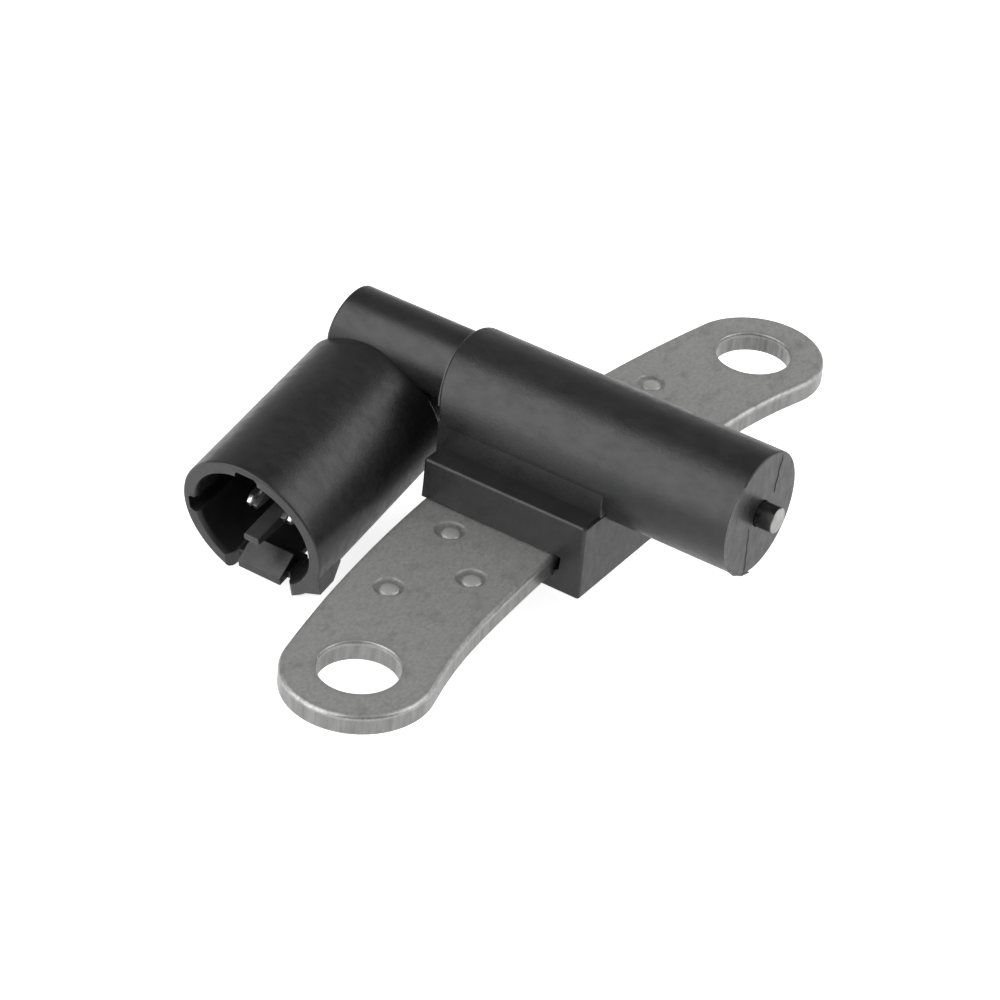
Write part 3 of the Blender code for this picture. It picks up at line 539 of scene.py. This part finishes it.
def plate():
    """The stamped plate: rims carried round the outline, the holes and the marks, and two flat faces.

    A rim is its loop moved inwards and up row by row; near each face the rows follow a quarter circle.
    """
    turn = np.linspace(0, pi / 2, 6)
    near, away = 1 - np.cos(turn), 1 - np.sin(turn)
    low = np.stack([BOTTOM_EDGE * away, PLATE_BOTTOM + BOTTOM_EDGE * near], 1)
    top = np.stack([TOP_EDGE * near, PLATE_TOP - TOP_EDGE * away], 1)
    outer_rows = np.vstack([low, top])
    mark = [(0.62, -0.2), (0.5, -0.2), (0.3, -0.17), (0.12, -0.08), (0, -0.012), (-0.12, 0)]
    mark_rows = np.array(mark) + (0, PLATE_TOP)
    ring = arc_points((0, 0), 1, 0, 360, 3.75)[:-1]
    points, faces = [], []

    def rim(loop, rows):
        """Adds a rim and gives back the numbers of its lowest row."""
        start = sum(map(len, points))
        for move, height in rows:
            points.append(np.insert(inset(loop, move), 2, height, 1))
        faces.extend(ring_faces(len(rows), len(loop), start))
        return list(range(start, start + len(loop)))

    rim(plate_outline(), outer_rows)
    for side in (-1, 1):
        rim(ring * HOLE_R + (0, side * HOLE_Y), outer_rows * (-HOLE_EDGE_SHARE, 1))
        for x, y in PUNCH_MARKS:
            faces.append(rim(ring[::2] * PUNCH_R + (x, side * y), mark_rows))
    mesh = bpy.data.meshes.new("plate rims")
    mesh.from_pydata(np.vstack(points).tolist(), [], faces)
    form = bmesh.new()
    form.from_mesh(mesh)
    bpy.data.meshes.remove(mesh)
    open_edges = [edge for edge in form.edges if edge.is_boundary]
    for height in (PLATE_BOTTOM, PLATE_TOP):
        level = [edge for edge in open_edges if abs(edge.verts[0].co.z - height) < TIGHT]
        bmesh.ops.triangle_fill(form, use_beauty=True, use_dissolve=False, edges=level)
    form.verts.index_update()
    faces = [[vert.index for vert in face.verts] for face in form.faces]
    places = [vert.co[:] for vert in form.verts]
    form.free()
    return places, faces


def contact_tab(middle):
    """A folded contact: two lobes with drawn-in tips and a seam between them, on a common root.

    Each lobe is a rounded section carried inwards, its width and height drawn in toward the tip.
    """
    wide, high = LOBE_HALF
    section = filleted([(-wide, -high), (wide, -high), (wide, high), (-wide, high)], [0.26] * 4, 5)
    shells = []
    for side in (-1, 1):
        draw = 2.4 if side * middle < 0 else 0.8  # the lobe by the post runs out further
        stations = [(0, 0.55, 0.3), (0.06, 0.7, 0.42), (draw, 1, 0.98), (draw + 0.2, 1, 1), (15, 1, 1)]
        rows = []
        for depth, narrow, low in stations:
            row = section * (narrow, low) + (middle + side * 0.52, TAB_RISE - (1 - low) * 0.3)
            rows.append(np.insert(row, 2, TAB_FRONT + depth, 1))
        shells.append(carried(in_shroud(rows)))
    front = (middle - LEG_HALF, TAB_RISE - 0.7, TAB_FRONT + 2.2)
    shells.append(rounded_block(front, (middle + LEG_HALF, TAB_RISE + 0.4, 18.4), 0.12, in_shroud))
    return shells


def raised_spot(x, y):
    """A low dome left beside the middle of a punch mark, burnished and painted bright as a highlight by the
    plate's colour: rings of falling radius, rising.
    """
    rings = [(1.3, -0.5), (1.3, -0.1), (1.27, 0.02), (1.16, 0.1), (0.95, 0.18), (0.62, 0.24), (0.25, 0.27)]
    circle = arc_points((0, 0), 1, 0, 360, 7.5)[:-1]
    return carried([np.insert(circle * r + (x, y), 2, PLATE_TOP - 0.12 + z, 1) for r, z in rings])


def contact_strip(side):
    """The leg and the flat strip that lead from a tab through the neck to the coil."""
    across = side * TAB_PITCH / 2
    middle = MOUTH[0] + across
    y = -side * STRIP_PITCH / 2
    leg_low = (middle - LEG_HALF, y - STRIP_HALF, 8.8 + y * 0.24)
    leg_high = (middle + LEG_HALF, y + STRIP_HALF, NECK_Z + 0.1)
    strip_low = (middle - 0.95, y - 0.8, NECK_Z - STRIP_HALF)
    strip_high = (STRIP_FRONT, y + 0.8, NECK_Z + STRIP_HALF)
    end_low, end_high = (across - LEG_HALF, -0.7, 17), (across + LEG_HALF, 0.3, 28.9 + y)
    return [
        rounded_block(leg_low, leg_high, 0.1),
        rounded_block(strip_low, strip_high, 0.1),
        rounded_block(end_low, end_high, 0.1, in_shroud),
    ]


def pole_pin():
    """The pole piece: a turned pin with a small chamfer at its ground end."""
    corners = [(PIN_BACK, 0), (PIN_BACK, PIN_R), (PIN_FRONT, PIN_R), (PIN_FRONT, 0)]
    return turned(filleted(corners, [0, 0.15, 0.2, 0], 4, False), BARREL_Z, 96)


def bead(path, radius, normal):
    """A thin raised line: rings square to a path, smaller at its two ends and closed there."""
    path = np.asarray(path, float)
    normal = np.asarray(normal, float)
    along = np.gradient(path, axis=0)
    along /= np.linalg.norm(along, axis=1, keepdims=True)
    side = np.cross(along, normal)
    side /= np.linalg.norm(side, axis=1, keepdims=True)
    angle = np.linspace(0, 2 * pi, 8, endpoint=False)
    size = np.full(len(path), radius)
    size[[0, -1]] = radius * 0.3
    rings = path[:, None] + size[:, None, None] * (
        np.cos(angle)[None, :, None] * side[:, None] + np.sin(angle)[None, :, None] * normal[None, None]
    )
    return carried(rings)


def along_path(points, step):
    """A polyline made even: points at equal distances between the given ones."""
    points = np.asarray(points, float)
    lengths = np.concatenate([[0], np.cumsum(np.linalg.norm(np.diff(points, axis=0), axis=1))])
    places = np.linspace(0, lengths[-1], max(3, int(lengths[-1] / step)))
    return np.stack([np.interp(places, lengths, points[:, axis]) for axis in range(points.shape[1])], 1)


def parting_lines():
    """The mould's joint on the tip's face, over and under the pole piece: two wavering beads."""
    beads = []
    for line in TIP_LINES:
        path = along_path([(TIP_X, y, z + PLATE_TOP) for y, z in line], 0.4)
        path[:, 1] += 0.09 * np.sin(path[:, 2] * 3.1) + 0.05 * np.sin(path[:, 2] * 7.7)
        beads.append(bead(path, 0.08, (1, 0, 0)))
    return beads


def rim_flash():
    """Thin flash round the left of the tip's rim: a bead on the circle that wavers by a sum of sines."""
    angle = np.radians(np.linspace(38, 172, 150))
    waver = 0.05 * np.sin(9 * angle) + 0.04 * np.sin(23 * angle + 1) + 0.03 * np.sin(57 * angle)
    reach = BARREL_R + 0.02 + 0.8 * waver
    path = np.stack([TIP_X - 0.04 + 0.5 * waver, -reach * np.sin(angle), BARREL_Z + reach * np.cos(angle)], 1)
    return bead(path, 0.14, (1, 0, 0))


def joint_flash():
    """Thin flash round the barrel's rear rim beside the neck: two wavering beads on the leaning circle."""
    lines = []
    for start, stop, size in ((34, 80, 0.11), (100, 112, 0.2)):
        angle = np.radians(np.linspace(start, stop, 70))
        waver = 0.05 * np.sin(11 * angle) + 0.04 * np.sin(31 * angle)
        reach = BARREL_R - 0.12 + 0.5 * waver
        rise = reach * np.cos(angle)
        back = BARREL_BACK - BARREL_LEAN * rise + 0.1
        path = np.stack([back, -reach * np.sin(angle), BARREL_Z + rise], 1)
        lines.append(bead(path, size, (1, 0, 0)))
    return lines


def group(name, inputs, outputs):
    """An empty shader group with named number or colour sockets."""
    tree = bpy.data.node_groups.new(name, "ShaderNodeTree")
    for label, kind, default in inputs:
        made = tree.interface.new_socket(name=label, in_out="INPUT", socket_type=kind)
        made.default_value = default
    for label, kind in outputs:
        tree.interface.new_socket(name=label, in_out="OUTPUT", socket_type=kind)
    return tree, tree.nodes.new("NodeGroupInput"), tree.nodes.new("NodeGroupOutput")


def add_node(tree, kind, settings=None, **inputs):
    """A node with its settings, and its inputs set to a value or linked from a socket.

    An input is named with underscores for spaces, or by its number: n0, n1 and so on.
    """
    made = tree.nodes.new(kind)
    for label, value in (settings or {}).items():
        setattr(made, label, value)
    for label, value in inputs.items():
        numbered = label[0] == "n" and label[1:].isdigit()
        socket = made.inputs[int(label[1:]) if numbered else label.replace("_", " ")]
        if isinstance(value, bpy.types.NodeSocket):
            tree.links.new(value, socket)
        else:
            socket.default_value = value
    return made


def noise_node(tree, place, scale, detail, rough=0.5):
    """Noise at a place, as a share between 0 and 1."""
    made = add_node(tree, "ShaderNodeTexNoise", Vector=place, Scale=scale, Detail=detail, Roughness=rough)
    return made.outputs[0]


def maths(tree, operation, *inputs, clamp=False):
    """Numbers or sockets put together by one operation."""
    values = {f"n{index}": value for index, value in enumerate(inputs)}
    return add_node(tree, "ShaderNodeMath", {"operation": operation, "use_clamp": clamp}, **values).outputs[0]


def dot(tree, first, second):
    """How far one vector reaches along another."""
    made = add_node(tree, "ShaderNodeVectorMath", {"operation": "DOT_PRODUCT"}, n0=first, n1=second)
    return made.outputs["Value"]


def limited(tree, value, low, high):
    """A number brought to between 0 and 1 by two limits."""
    return add_node(tree, "ShaderNodeMapRange", Value=value, From_Min=low, From_Max=high).outputs[0]


def grain_group():
    """Fine mould texture: two sizes of noise on object coordinates, as a height."""
    tree, enter, leave = group(
        "Mould grain",
        [("Fine size", "NodeSocketFloat", 5000.0), ("Coarse size", "NodeSocketFloat", 700.0),
         ("Coarse share", "NodeSocketFloat", 0.4)],
        [("Height", "NodeSocketFloat")],
    )
    place = add_node(tree, "ShaderNodeTexCoord").outputs["Object"]
    fine = noise_node(tree, place, enter.outputs[0], 2.0, 0.6)
    coarse = noise_node(tree, place, enter.outputs[1], 3.0, 0.55)
    mixed = add_node(tree, "ShaderNodeMix", n0=enter.outputs[2], n2=fine, n3=coarse)
    tree.links.new(mixed.outputs[0], leave.inputs[0])
    return tree


def cloud_group():
    """Soft patches between two limits: noise on object coordinates, stretched by the three scales."""
    tree, enter, leave = group(
        "Soft patches",
        [("Scale X", "NodeSocketFloat", 100.0), ("Scale Y", "NodeSocketFloat", 100.0),
         ("Scale Z", "NodeSocketFloat", 100.0), ("Low", "NodeSocketFloat", 0.35),
         ("High", "NodeSocketFloat", 0.65)],
        [("Mask", "NodeSocketFloat")],
    )
    place = add_node(tree, "ShaderNodeTexCoord").outputs["Object"]
    scale = add_node(tree, "ShaderNodeCombineXYZ", X=enter.outputs[0], Y=enter.outputs[1], Z=enter.outputs[2])
    spread = add_node(tree, "ShaderNodeVectorMath", {"operation": "MULTIPLY"}, n0=place, n1=scale.outputs[0])
    noise = noise_node(tree, spread.outputs[0], 1.0, 4.0, 0.6)
    tree.links.new(limited(tree, noise, enter.outputs[3], enter.outputs[4]), leave.inputs[0])
    return tree


def wear_group():
    """Edges: how far a rounded normal turns away from the face's own, broken up by noise."""
    tree, enter, leave = group(
        "Edge wear",
        [("Radius", "NodeSocketFloat", 0.0003), ("Gain", "NodeSocketFloat", 6.0)],
        [("Mask", "NodeSocketFloat")],
    )
    round_normal = add_node(tree, "ShaderNodeBevel", {"samples": 4}, Radius=enter.outputs[0])
    own = add_node(tree, "ShaderNodeNewGeometry")
    turned_away = maths(tree, "SUBTRACT", 1.0, dot(tree, round_normal.outputs[0], own.outputs["Normal"]))
    place = add_node(tree, "ShaderNodeTexCoord").outputs["Object"]
    broken = maths(tree, "MULTIPLY", turned_away, noise_node(tree, place, 900.0, 3.0))
    strong = maths(tree, "MULTIPLY", broken, enter.outputs[1], clamp=True)
    tree.links.new(strong, leave.inputs[0])
    return tree


def band_group():
    """How far a point lies between two places along one direction: 0 before the first, 1 past the second."""
    tree, enter, leave = group(
        "Band along a direction",
        [("Direction", "NodeSocketVector", (1.0, 0.0, 0.0)), ("Start", "NodeSocketFloat", 0.0),
         ("Stop", "NodeSocketFloat", 1.0)],
        [("Mask", "NodeSocketFloat")],
    )
    place = add_node(tree, "ShaderNodeTexCoord").outputs["Object"]
    along = dot(tree, place, enter.outputs[0])
    tree.links.new(limited(tree, along, enter.outputs[1], enter.outputs[2]), leave.inputs[0])
    return tree


GRAIN = grain_group()
CLOUDS = cloud_group()
WEAR = wear_group()
BAND = band_group()


def placed(tree, which, **inputs):
    """A group's node in a material, with its own values; an input's label has underscores for spaces."""
    made = tree.nodes.new("ShaderNodeGroup")
    made.node_tree = which
    for label, value in inputs.items():
        made.inputs[label.replace("_", " ")].default_value = value
    return made.outputs[0]


def new_material(name, metallic=0.0, **constants):
    """A material with only its Principled shader, which takes the constants on its own sockets."""
    made = bpy.data.materials.new(name)
    made.use_nodes = True
    tree = made.node_tree
    shader = tree.nodes["Principled BSDF"]
    shader.inputs["Metallic"].default_value = metallic
    for label, value in constants.items():
        shader.inputs[label.replace("_", " ")].default_value = value
    return made, tree, shader


def mixed_colour(tree, factor, first, second):
    """A colour between two, by a mask."""
    made = add_node(tree, "ShaderNodeMix", {"data_type": "RGBA"})
    tree.links.new(factor, made.inputs[0])
    for socket, colour in ((made.inputs[6], first), (made.inputs[7], second)):
        if isinstance(colour, bpy.types.NodeSocket):
            tree.links.new(colour, socket)
        else:
            socket.default_value = (*colour, 1.0)
    return made.outputs[2]


def mixed_value(tree, factor, first, second):
    """A number between two, by a mask."""
    return add_node(tree, "ShaderNodeMapRange", Value=factor, To_Min=first, To_Max=second).outputs[0]


def bumped(tree, shader, height, strength, distance):
    """Feeds a height to the shader's normal."""
    bump = add_node(tree, "ShaderNodeBump", Height=height, Strength=strength, Distance=distance)
    tree.links.new(bump.outputs[0], shader.inputs["Normal"])


def moulded_plastic(name, dark, light, rough, grain=0.25, size=4200.0):
    """Black glass-filled plastic: faint clouding, uneven sheen, fine mould grain, paler rubbed edges."""
    made, tree, shader = new_material(name)
    clouds = placed(tree, CLOUDS, Scale_X=260.0, Scale_Y=260.0, Scale_Z=260.0, Low=0.3, High=0.7)
    body = mixed_colour(tree, clouds, dark, light)
    worn = placed(tree, WEAR, Radius=0.00025, Gain=2.2)
    body = mixed_colour(tree, worn, body, (0.075, 0.075, 0.076))
    tree.links.new(body, shader.inputs["Base Color"])
    smears = placed(tree, CLOUDS, Scale_X=420.0, Scale_Y=900.0, Scale_Z=600.0, Low=0.3, High=0.75)
    tree.links.new(mixed_value(tree, smears, rough - 0.07, rough + 0.12), shader.inputs["Roughness"])
    height = placed(tree, GRAIN, Fine_size=size, Coarse_size=900.0, Coarse_share=0.35)
    bumped(tree, shader, height, grain, 0.00006)
    return made


def rolled_steel(name, base, rough):
    """Plated sheet: a mottled grey top with grain and smudges, darker near the edges; sides darker, partly
    the sheared metal's tone and partly painted shade; edges lighter, partly rubbed metal and partly a painted
    highlight; raised spots painted bright, partly burnished and partly a painted highlight.
    """
    made, tree, shader = new_material(name, 0.75)

    def shade(share):
        return tuple(share * channel for channel in base)

    def over_top(start, stop):
        """How far up a point lies between two heights, given from the plate's top."""
        start, stop = (PLATE_TOP + start) * MM, (PLATE_TOP + stop) * MM
        return placed(tree, BAND, Direction=(0.0, 0.0, 1.0), Start=start, Stop=stop)

    grain = placed(tree, CLOUDS, Scale_X=2600.0, Scale_Y=1500.0, Scale_Z=2600.0, Low=0.3, High=0.7)
    patches = placed(tree, CLOUDS, Scale_X=420.0, Scale_Y=330.0, Scale_Z=420.0, Low=0.3, High=0.7)
    smudges = placed(tree, CLOUDS, Scale_X=420.0, Scale_Y=300.0, Scale_Z=420.0, Low=0.54, High=0.74)
    pits = placed(tree, CLOUDS, Scale_X=3300.0, Scale_Y=3300.0, Scale_Z=3300.0, Low=0.6, High=0.7)
    body = mixed_colour(tree, patches, shade(0.72), shade(1.2))
    body = mixed_colour(tree, mixed_value(tree, grain, 0.0, 0.8), body, shade(1.55))
    body = mixed_colour(tree, mixed_value(tree, smudges, 0.0, 0.7), body, shade(0.5))
    body = mixed_colour(tree, mixed_value(tree, pits, 0.0, 0.6), body, shade(0.4))
    # Darker within about 1.8 mm of every edge.
    darker_near_edges = placed(tree, WEAR, Radius=0.0018, Gain=4.0)
    body = mixed_colour(tree, darker_near_edges, body, shade(0.42))
    # Below the top's rounded rim the sides and underside take a darker, streaked colour: partly the sheared
    # metal's duller tone, partly painted shade.
    streaks = placed(tree, CLOUDS, Scale_X=1500.0, Scale_Y=1500.0, Scale_Z=160.0, Low=0.3, High=0.7)
    side = mixed_colour(tree, streaks, shade(0.5), shade(0.86))
    body = mixed_colour(tree, over_top(-0.75, -0.4), side, body)
    # Rims painted lighter: partly rubbed metal, partly a painted highlight on the rounded edges.
    worn = placed(tree, WEAR, Radius=0.0003, Gain=2.4)
    body = mixed_colour(tree, worn, body, (0.66, 0.66, 0.65))
    # Whatever stands above the top face, the raised spots most, is painted brighter: partly burnished metal,
    # partly a painted highlight; the flat top takes a little of it.
    body = mixed_colour(tree, over_top(-0.04, 0.1), body, (0.55, 0.55, 0.54))
    tree.links.new(body, shader.inputs["Base Color"])
    dull = mixed_value(tree, patches, rough + 0.06, rough - 0.06)
    smooth = add_node(tree, "ShaderNodeMix", n0=over_top(-0.3, -0.02), n2=0.33, n3=dull)
    tree.links.new(smooth.outputs[0], shader.inputs["Roughness"])
    height = placed(tree, CLOUDS, Scale_X=2400.0, Scale_Y=1600.0, Scale_Z=2400.0, Low=0.2, High=0.8)
    bumped(tree, shader, height, 0.5, 0.00004)
    return made


def bright_metal(name, base, rough, scratch=0.2):
    """Clean metal with fine scratches and slight staining."""
    made, tree, shader = new_material(name, 1.0)
    stains = placed(tree, CLOUDS, Scale_X=900.0, Scale_Y=900.0, Scale_Z=900.0, Low=0.35, High=0.7)
    body = mixed_colour(tree, stains, base, tuple(0.78 * channel for channel in base))
    tree.links.new(body, shader.inputs["Base Color"])
    tree.links.new(mixed_value(tree, stains, rough, rough + 0.12), shader.inputs["Roughness"])
    lines = placed(tree, CLOUDS, Scale_X=800.0, Scale_Y=9000.0, Scale_Z=9000.0, Low=0.3, High=0.7)
    bumped(tree, shader, lines, scratch, 0.00001)
    return made


def pole_steel(name, side, end):
    """A pole piece with a dark oxide skin and a freshly ground end."""
    made, tree, shader = new_material(name, 1.0)
    stains = placed(tree, CLOUDS, Scale_X=700.0, Scale_Y=700.0, Scale_Z=700.0, Low=0.35, High=0.65)
    skin = mixed_colour(tree, stains, side, tuple(1.9 * channel for channel in side))
    ground = mixed_colour(tree, stains, end, tuple(0.85 * channel for channel in end))
    at_end = placed(tree, BAND, Start=(PIN_FRONT - 0.16) * MM, Stop=(PIN_FRONT - 0.04) * MM)
    tree.links.new(mixed_colour(tree, at_end, skin, ground), shader.inputs["Base Color"])
    tree.links.new(mixed_value(tree, stains, 0.3, 0.42), shader.inputs["Roughness"])
    lines = placed(tree, CLOUDS, Scale_X=800.0, Scale_Y=9000.0, Scale_Z=9000.0, Low=0.3, High=0.7)
    bumped(tree, shader, lines, 0.3, 0.00001)
    return made


def tinned_blade(name, base):
    """Tinned contact: bright rolled sides, and a sheared front painted dark as shade."""
    made, tree, shader = new_material(name, 1.0)
    stains = placed(tree, CLOUDS, Scale_X=900.0, Scale_Y=900.0, Scale_Z=900.0, Low=0.35, High=0.7)
    body = mixed_colour(tree, stains, base, tuple(0.78 * channel for channel in base))
    front = float(MOUTH @ INWARD) + TAB_FRONT
    inward = tuple(float(axis) for axis in INWARD)
    behind = placed(tree, BAND, Direction=inward, Start=(front + 0.02) * MM, Stop=(front + 0.1) * MM)
    # The front ends are painted nearly black: painted shade on the sheared front.
    body = mixed_colour(tree, behind, (0.03, 0.028, 0.026), body)
    tree.links.new(body, shader.inputs["Base Color"])
    tree.links.new(mixed_value(tree, stains, 0.3, 0.42), shader.inputs["Roughness"])
    bumped(tree, shader, placed(tree, GRAIN, Fine_size=3000.0), 0.15, 0.00001)
    return made


def inner_plastic(name, dark, light, rough):
    """Plain moulded or wound material inside the housing."""
    made, tree, shader = new_material(name)
    clouds = placed(tree, CLOUDS, Scale_X=500.0, Scale_Y=500.0, Scale_Z=500.0, Low=0.3, High=0.7)
    tree.links.new(mixed_colour(tree, clouds, dark, light), shader.inputs["Base Color"])
    tree.links.new(mixed_value(tree, clouds, rough, rough + 0.1), shader.inputs["Roughness"])
    bumped(tree, shader, placed(tree, GRAIN, Fine_size=3000.0), 0.2, 0.00004)
    return made


def wound_copper(name):
    """Enamelled wire: a wave along the coil for its turns, with a slight change of colour."""
    made, tree, shader = new_material(name, 1.0)
    place = add_node(tree, "ShaderNodeTexCoord").outputs["Object"]
    turns = add_node(tree, "ShaderNodeTexWave", {"wave_type": "BANDS", "bands_direction": "X"},
                     Vector=place, Scale=900.0, Distortion=0.4, Detail=1.0)
    body = mixed_colour(tree, turns.outputs[1], (0.36, 0.11, 0.04), (0.66, 0.27, 0.12))
    tree.links.new(body, shader.inputs["Base Color"])
    tree.links.new(mixed_value(tree, turns.outputs[1], 0.42, 0.26), shader.inputs["Roughness"])
    bumped(tree, shader, turns.outputs[1], 0.5, 0.00006)
    return made


DEEP_BLACK, SOFT_BLACK = (0.0105, 0.0105, 0.011), (0.0165, 0.0165, 0.017)
PLASTIC = moulded_plastic("Black moulded plastic", DEEP_BLACK, SOFT_BLACK, 0.36, 0.45, 3000.0)
TIP_PLASTIC = moulded_plastic("Black plastic bead", (0.02, 0.02, 0.02), (0.035, 0.035, 0.035), 0.5, 0.1)
# The key post's black plastic is painted lighter than the housing's: painted light standing in for light on
# the post's top inside the socket.
POST_PLASTIC_PAINTED_LIGHTER = moulded_plastic("Black plastic painted lighter", (0.03, 0.03, 0.03), (0.055, 0.055, 0.055), 0.5)
# Flash of the same black plastic, painted pale: a painted highlight along the rims it lines.
PALE_PAINTED_FLASH = moulded_plastic("Thin flash painted pale as highlight", (0.07, 0.07, 0.07), (0.16, 0.16, 0.16), 0.5, 0.1)
STEEL = rolled_steel("Plated sheet steel", (0.33, 0.33, 0.326), 0.5)
POLE = pole_steel("Pole steel with a ground end", (0.045, 0.045, 0.045), (0.34, 0.34, 0.335))
DISC = bright_metal("Plain disc steel", (0.5, 0.5, 0.49), 0.35, 0.3)
TINNED = tinned_blade("Tinned contact", (0.86, 0.86, 0.84))
MAGNET = bright_metal("Sintered magnet", (0.2, 0.2, 0.21), 0.45, 0.5)
NYLON = inner_plastic("Natural nylon", (0.42, 0.37, 0.28), (0.55, 0.5, 0.4), 0.45)
TAPE = inner_plastic("Polyester tape", (0.5, 0.36, 0.05), (0.62, 0.48, 0.1), 0.3)
COPPER = wound_copper("Enamelled copper")
SOLDER = bright_metal("Solder", (0.66, 0.66, 0.64), 0.25)

HOUSING = ("black_plastic", ["sensor_housing"])
put("barrel", [barrel()], PLASTIC, *HOUSING)
put("neck", [neck()], PLASTIC, *HOUSING)
put("connector_shroud", [shroud(), lug(), boss()], PLASTIC, *HOUSING)
put("key_post", [key_post()], POST_PLASTIC_PAINTED_LIGHTER, *HOUSING)
put("latch_tongue", latch(), PLASTIC, *HOUSING)
put("mounting_block", [block()], PLASTIC, *HOUSING)
put("web", [web()], PLASTIC, *HOUSING)
spots = [raised_spot(x + 0.35, side * y - 0.3) for side in (-1, 1) for x, y in PUNCH_MARKS]
put("bracket", [plate(), *spots], STEEL, "plate_steel", ["mounting_bracket"], 38)
for name, side in (("left", -1), ("right", 1)):
    shells = contact_tab(side * TIP_PITCH / 2) + contact_strip(side)
    put("contact_" + name, shells, TINNED, "tin", ["terminal_" + name], 50)
put("pin", [pole_pin()], POLE, "pole_steel", ["pole_pin"])
put("tip_parting_line", parting_lines(), TIP_PLASTIC, *HOUSING)
put("rim_flash", [rim_flash()], PALE_PAINTED_FLASH, *HOUSING)
put("joint_flash", joint_flash(), PALE_PAINTED_FLASH, *HOUSING)

for node, material in (
    ("magnet", MAGNET),
    ("flux_plate", DISC),
    ("coil_bobbin", NYLON),
    ("coil_winding", COPPER),
    ("winding_tape", TAPE),
    ("coil_lead_left", COPPER),
    ("coil_lead_right", COPPER),
    ("solder_joint_left", SOLDER),
    ("solder_joint_right", SOLDER),
    ("terminal_spacer", NYLON),
):
    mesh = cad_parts[node].data
    mesh.materials.clear()
    mesh.materials.append(material)


def camera():
    """The photograph's view: direction, tilt, distance and focal length."""
    azimuth, elevation, roll = radians(AZIMUTH), radians(ELEVATION), radians(ROLL)
    back = Vector((sin(azimuth) * cos(elevation), -cos(azimuth) * cos(elevation), sin(elevation)))
    right = Vector((0, 0, 1)).cross(back).normalized()
    up = back.cross(right)
    level_right = right * cos(roll) + up * sin(roll)
    level_up = up * cos(roll) - right * sin(roll)
    aside = level_right * VIEW_SHIFT[0] + level_up * VIEW_SHIFT[1]
    place = (back * VIEW_DISTANCE + aside + Vector((0, 0, PLATE_TOP))) * MM
    data = bpy.data.cameras.new("Camera")
    data.sensor_fit = "HORIZONTAL"
    data.sensor_width = SENSOR_WIDTH
    data.lens = FOCAL_SHARE * SENSOR_WIDTH
    data.clip_start = 0.01
    data.clip_end = 20.0
    made = bpy.data.objects.new("Camera", data)
    bpy.context.scene.collection.objects.link(made)
    turn = Matrix((level_right, level_up, back)).transposed()
    made.matrix_world = Matrix.Translation(place) @ turn.to_4x4()
    bpy.context.scene.camera = made


def panel(name, direction, distance, width, height, radiance):
    """A softbox that faces the part: its power is its radiance times its area times pi."""
    data = bpy.data.lights.new(name, "AREA")
    data.shape = "RECTANGLE"
    data.size = width
    data.size_y = height
    data.energy = radiance * width * height * pi
    made = bpy.data.objects.new(name, data)
    bpy.context.scene.collection.objects.link(made)
    away = Vector(direction).normalized()
    made.location = away * distance
    made.rotation_euler = away.to_track_quat("Z", "Y").to_euler()


def floor():
    """A pale floor under the part: white to the camera, a little dimmer in the part's reflections."""
    half, low = FLOOR_HALF, cad_box[0][2] - FLOOR_GAP
    mesh = bpy.data.meshes.new("floor")
    corners = [(-half, -half, low), (half, -half, low), (half, half, low), (-half, half, low)]
    mesh.from_pydata(corners, [], [(0, 1, 2, 3)])
    made = bpy.data.objects.new("floor", mesh)
    bpy.context.scene.collection.objects.link(made)
    pale, white = (0.9, 0.9, 0.9, 1.0), (1, 1, 1, 1)
    paint, tree, shader = new_material(
        "Pale floor", Base_Color=pale, Roughness=0.9, Specular_IOR_Level=0.0, Emission_Color=white
    )
    path = add_node(tree, "ShaderNodeLightPath")
    seen = maths(tree, "MULTIPLY", path.outputs["Is Camera Ray"], 0.8)
    glow = maths(tree, "MULTIPLY_ADD", path.outputs["Is Glossy Ray"], 0.5, seen)
    tree.links.new(glow, shader.inputs["Emission Strength"])
    mesh.materials.append(paint)


def surroundings():
    """White to the camera, dim to everything else."""
    world = bpy.data.worlds.new("Studio")
    bpy.context.scene.world = world
    world.use_nodes = True
    tree = world.node_tree
    tree.nodes.clear()
    path = add_node(tree, "ShaderNodeLightPath")
    dim = add_node(tree, "ShaderNodeBackground", Color=(1, 1, 1, 1), Strength=0.2)
    white = add_node(tree, "ShaderNodeBackground", Color=(1, 1, 1, 1), Strength=1.0)
    mix = add_node(tree, "ShaderNodeMixShader")
    tree.links.new(path.outputs["Is Camera Ray"], mix.inputs[0])
    tree.links.new(dim.outputs[0], mix.inputs[1])
    tree.links.new(white.outputs[0], mix.inputs[2])
    leave = add_node(tree, "ShaderNodeOutputWorld")
    tree.links.new(mix.outputs[0], leave.inputs["Surface"])


camera()
floor()
surroundings()
panel("Left softbox", (-0.5, -0.8, 0.62), 0.75, 0.9, 0.95, 2.75)
panel("Right softbox", (0.75, 0.45, 0.62), 0.75, 0.8, 0.8, 2.3)
panel("Back panel", (-0.5, 0.8, 0.3), 0.9, 1.2, 0.4, 0.35)
bpy.context.scene.view_settings.view_transform = "Standard"
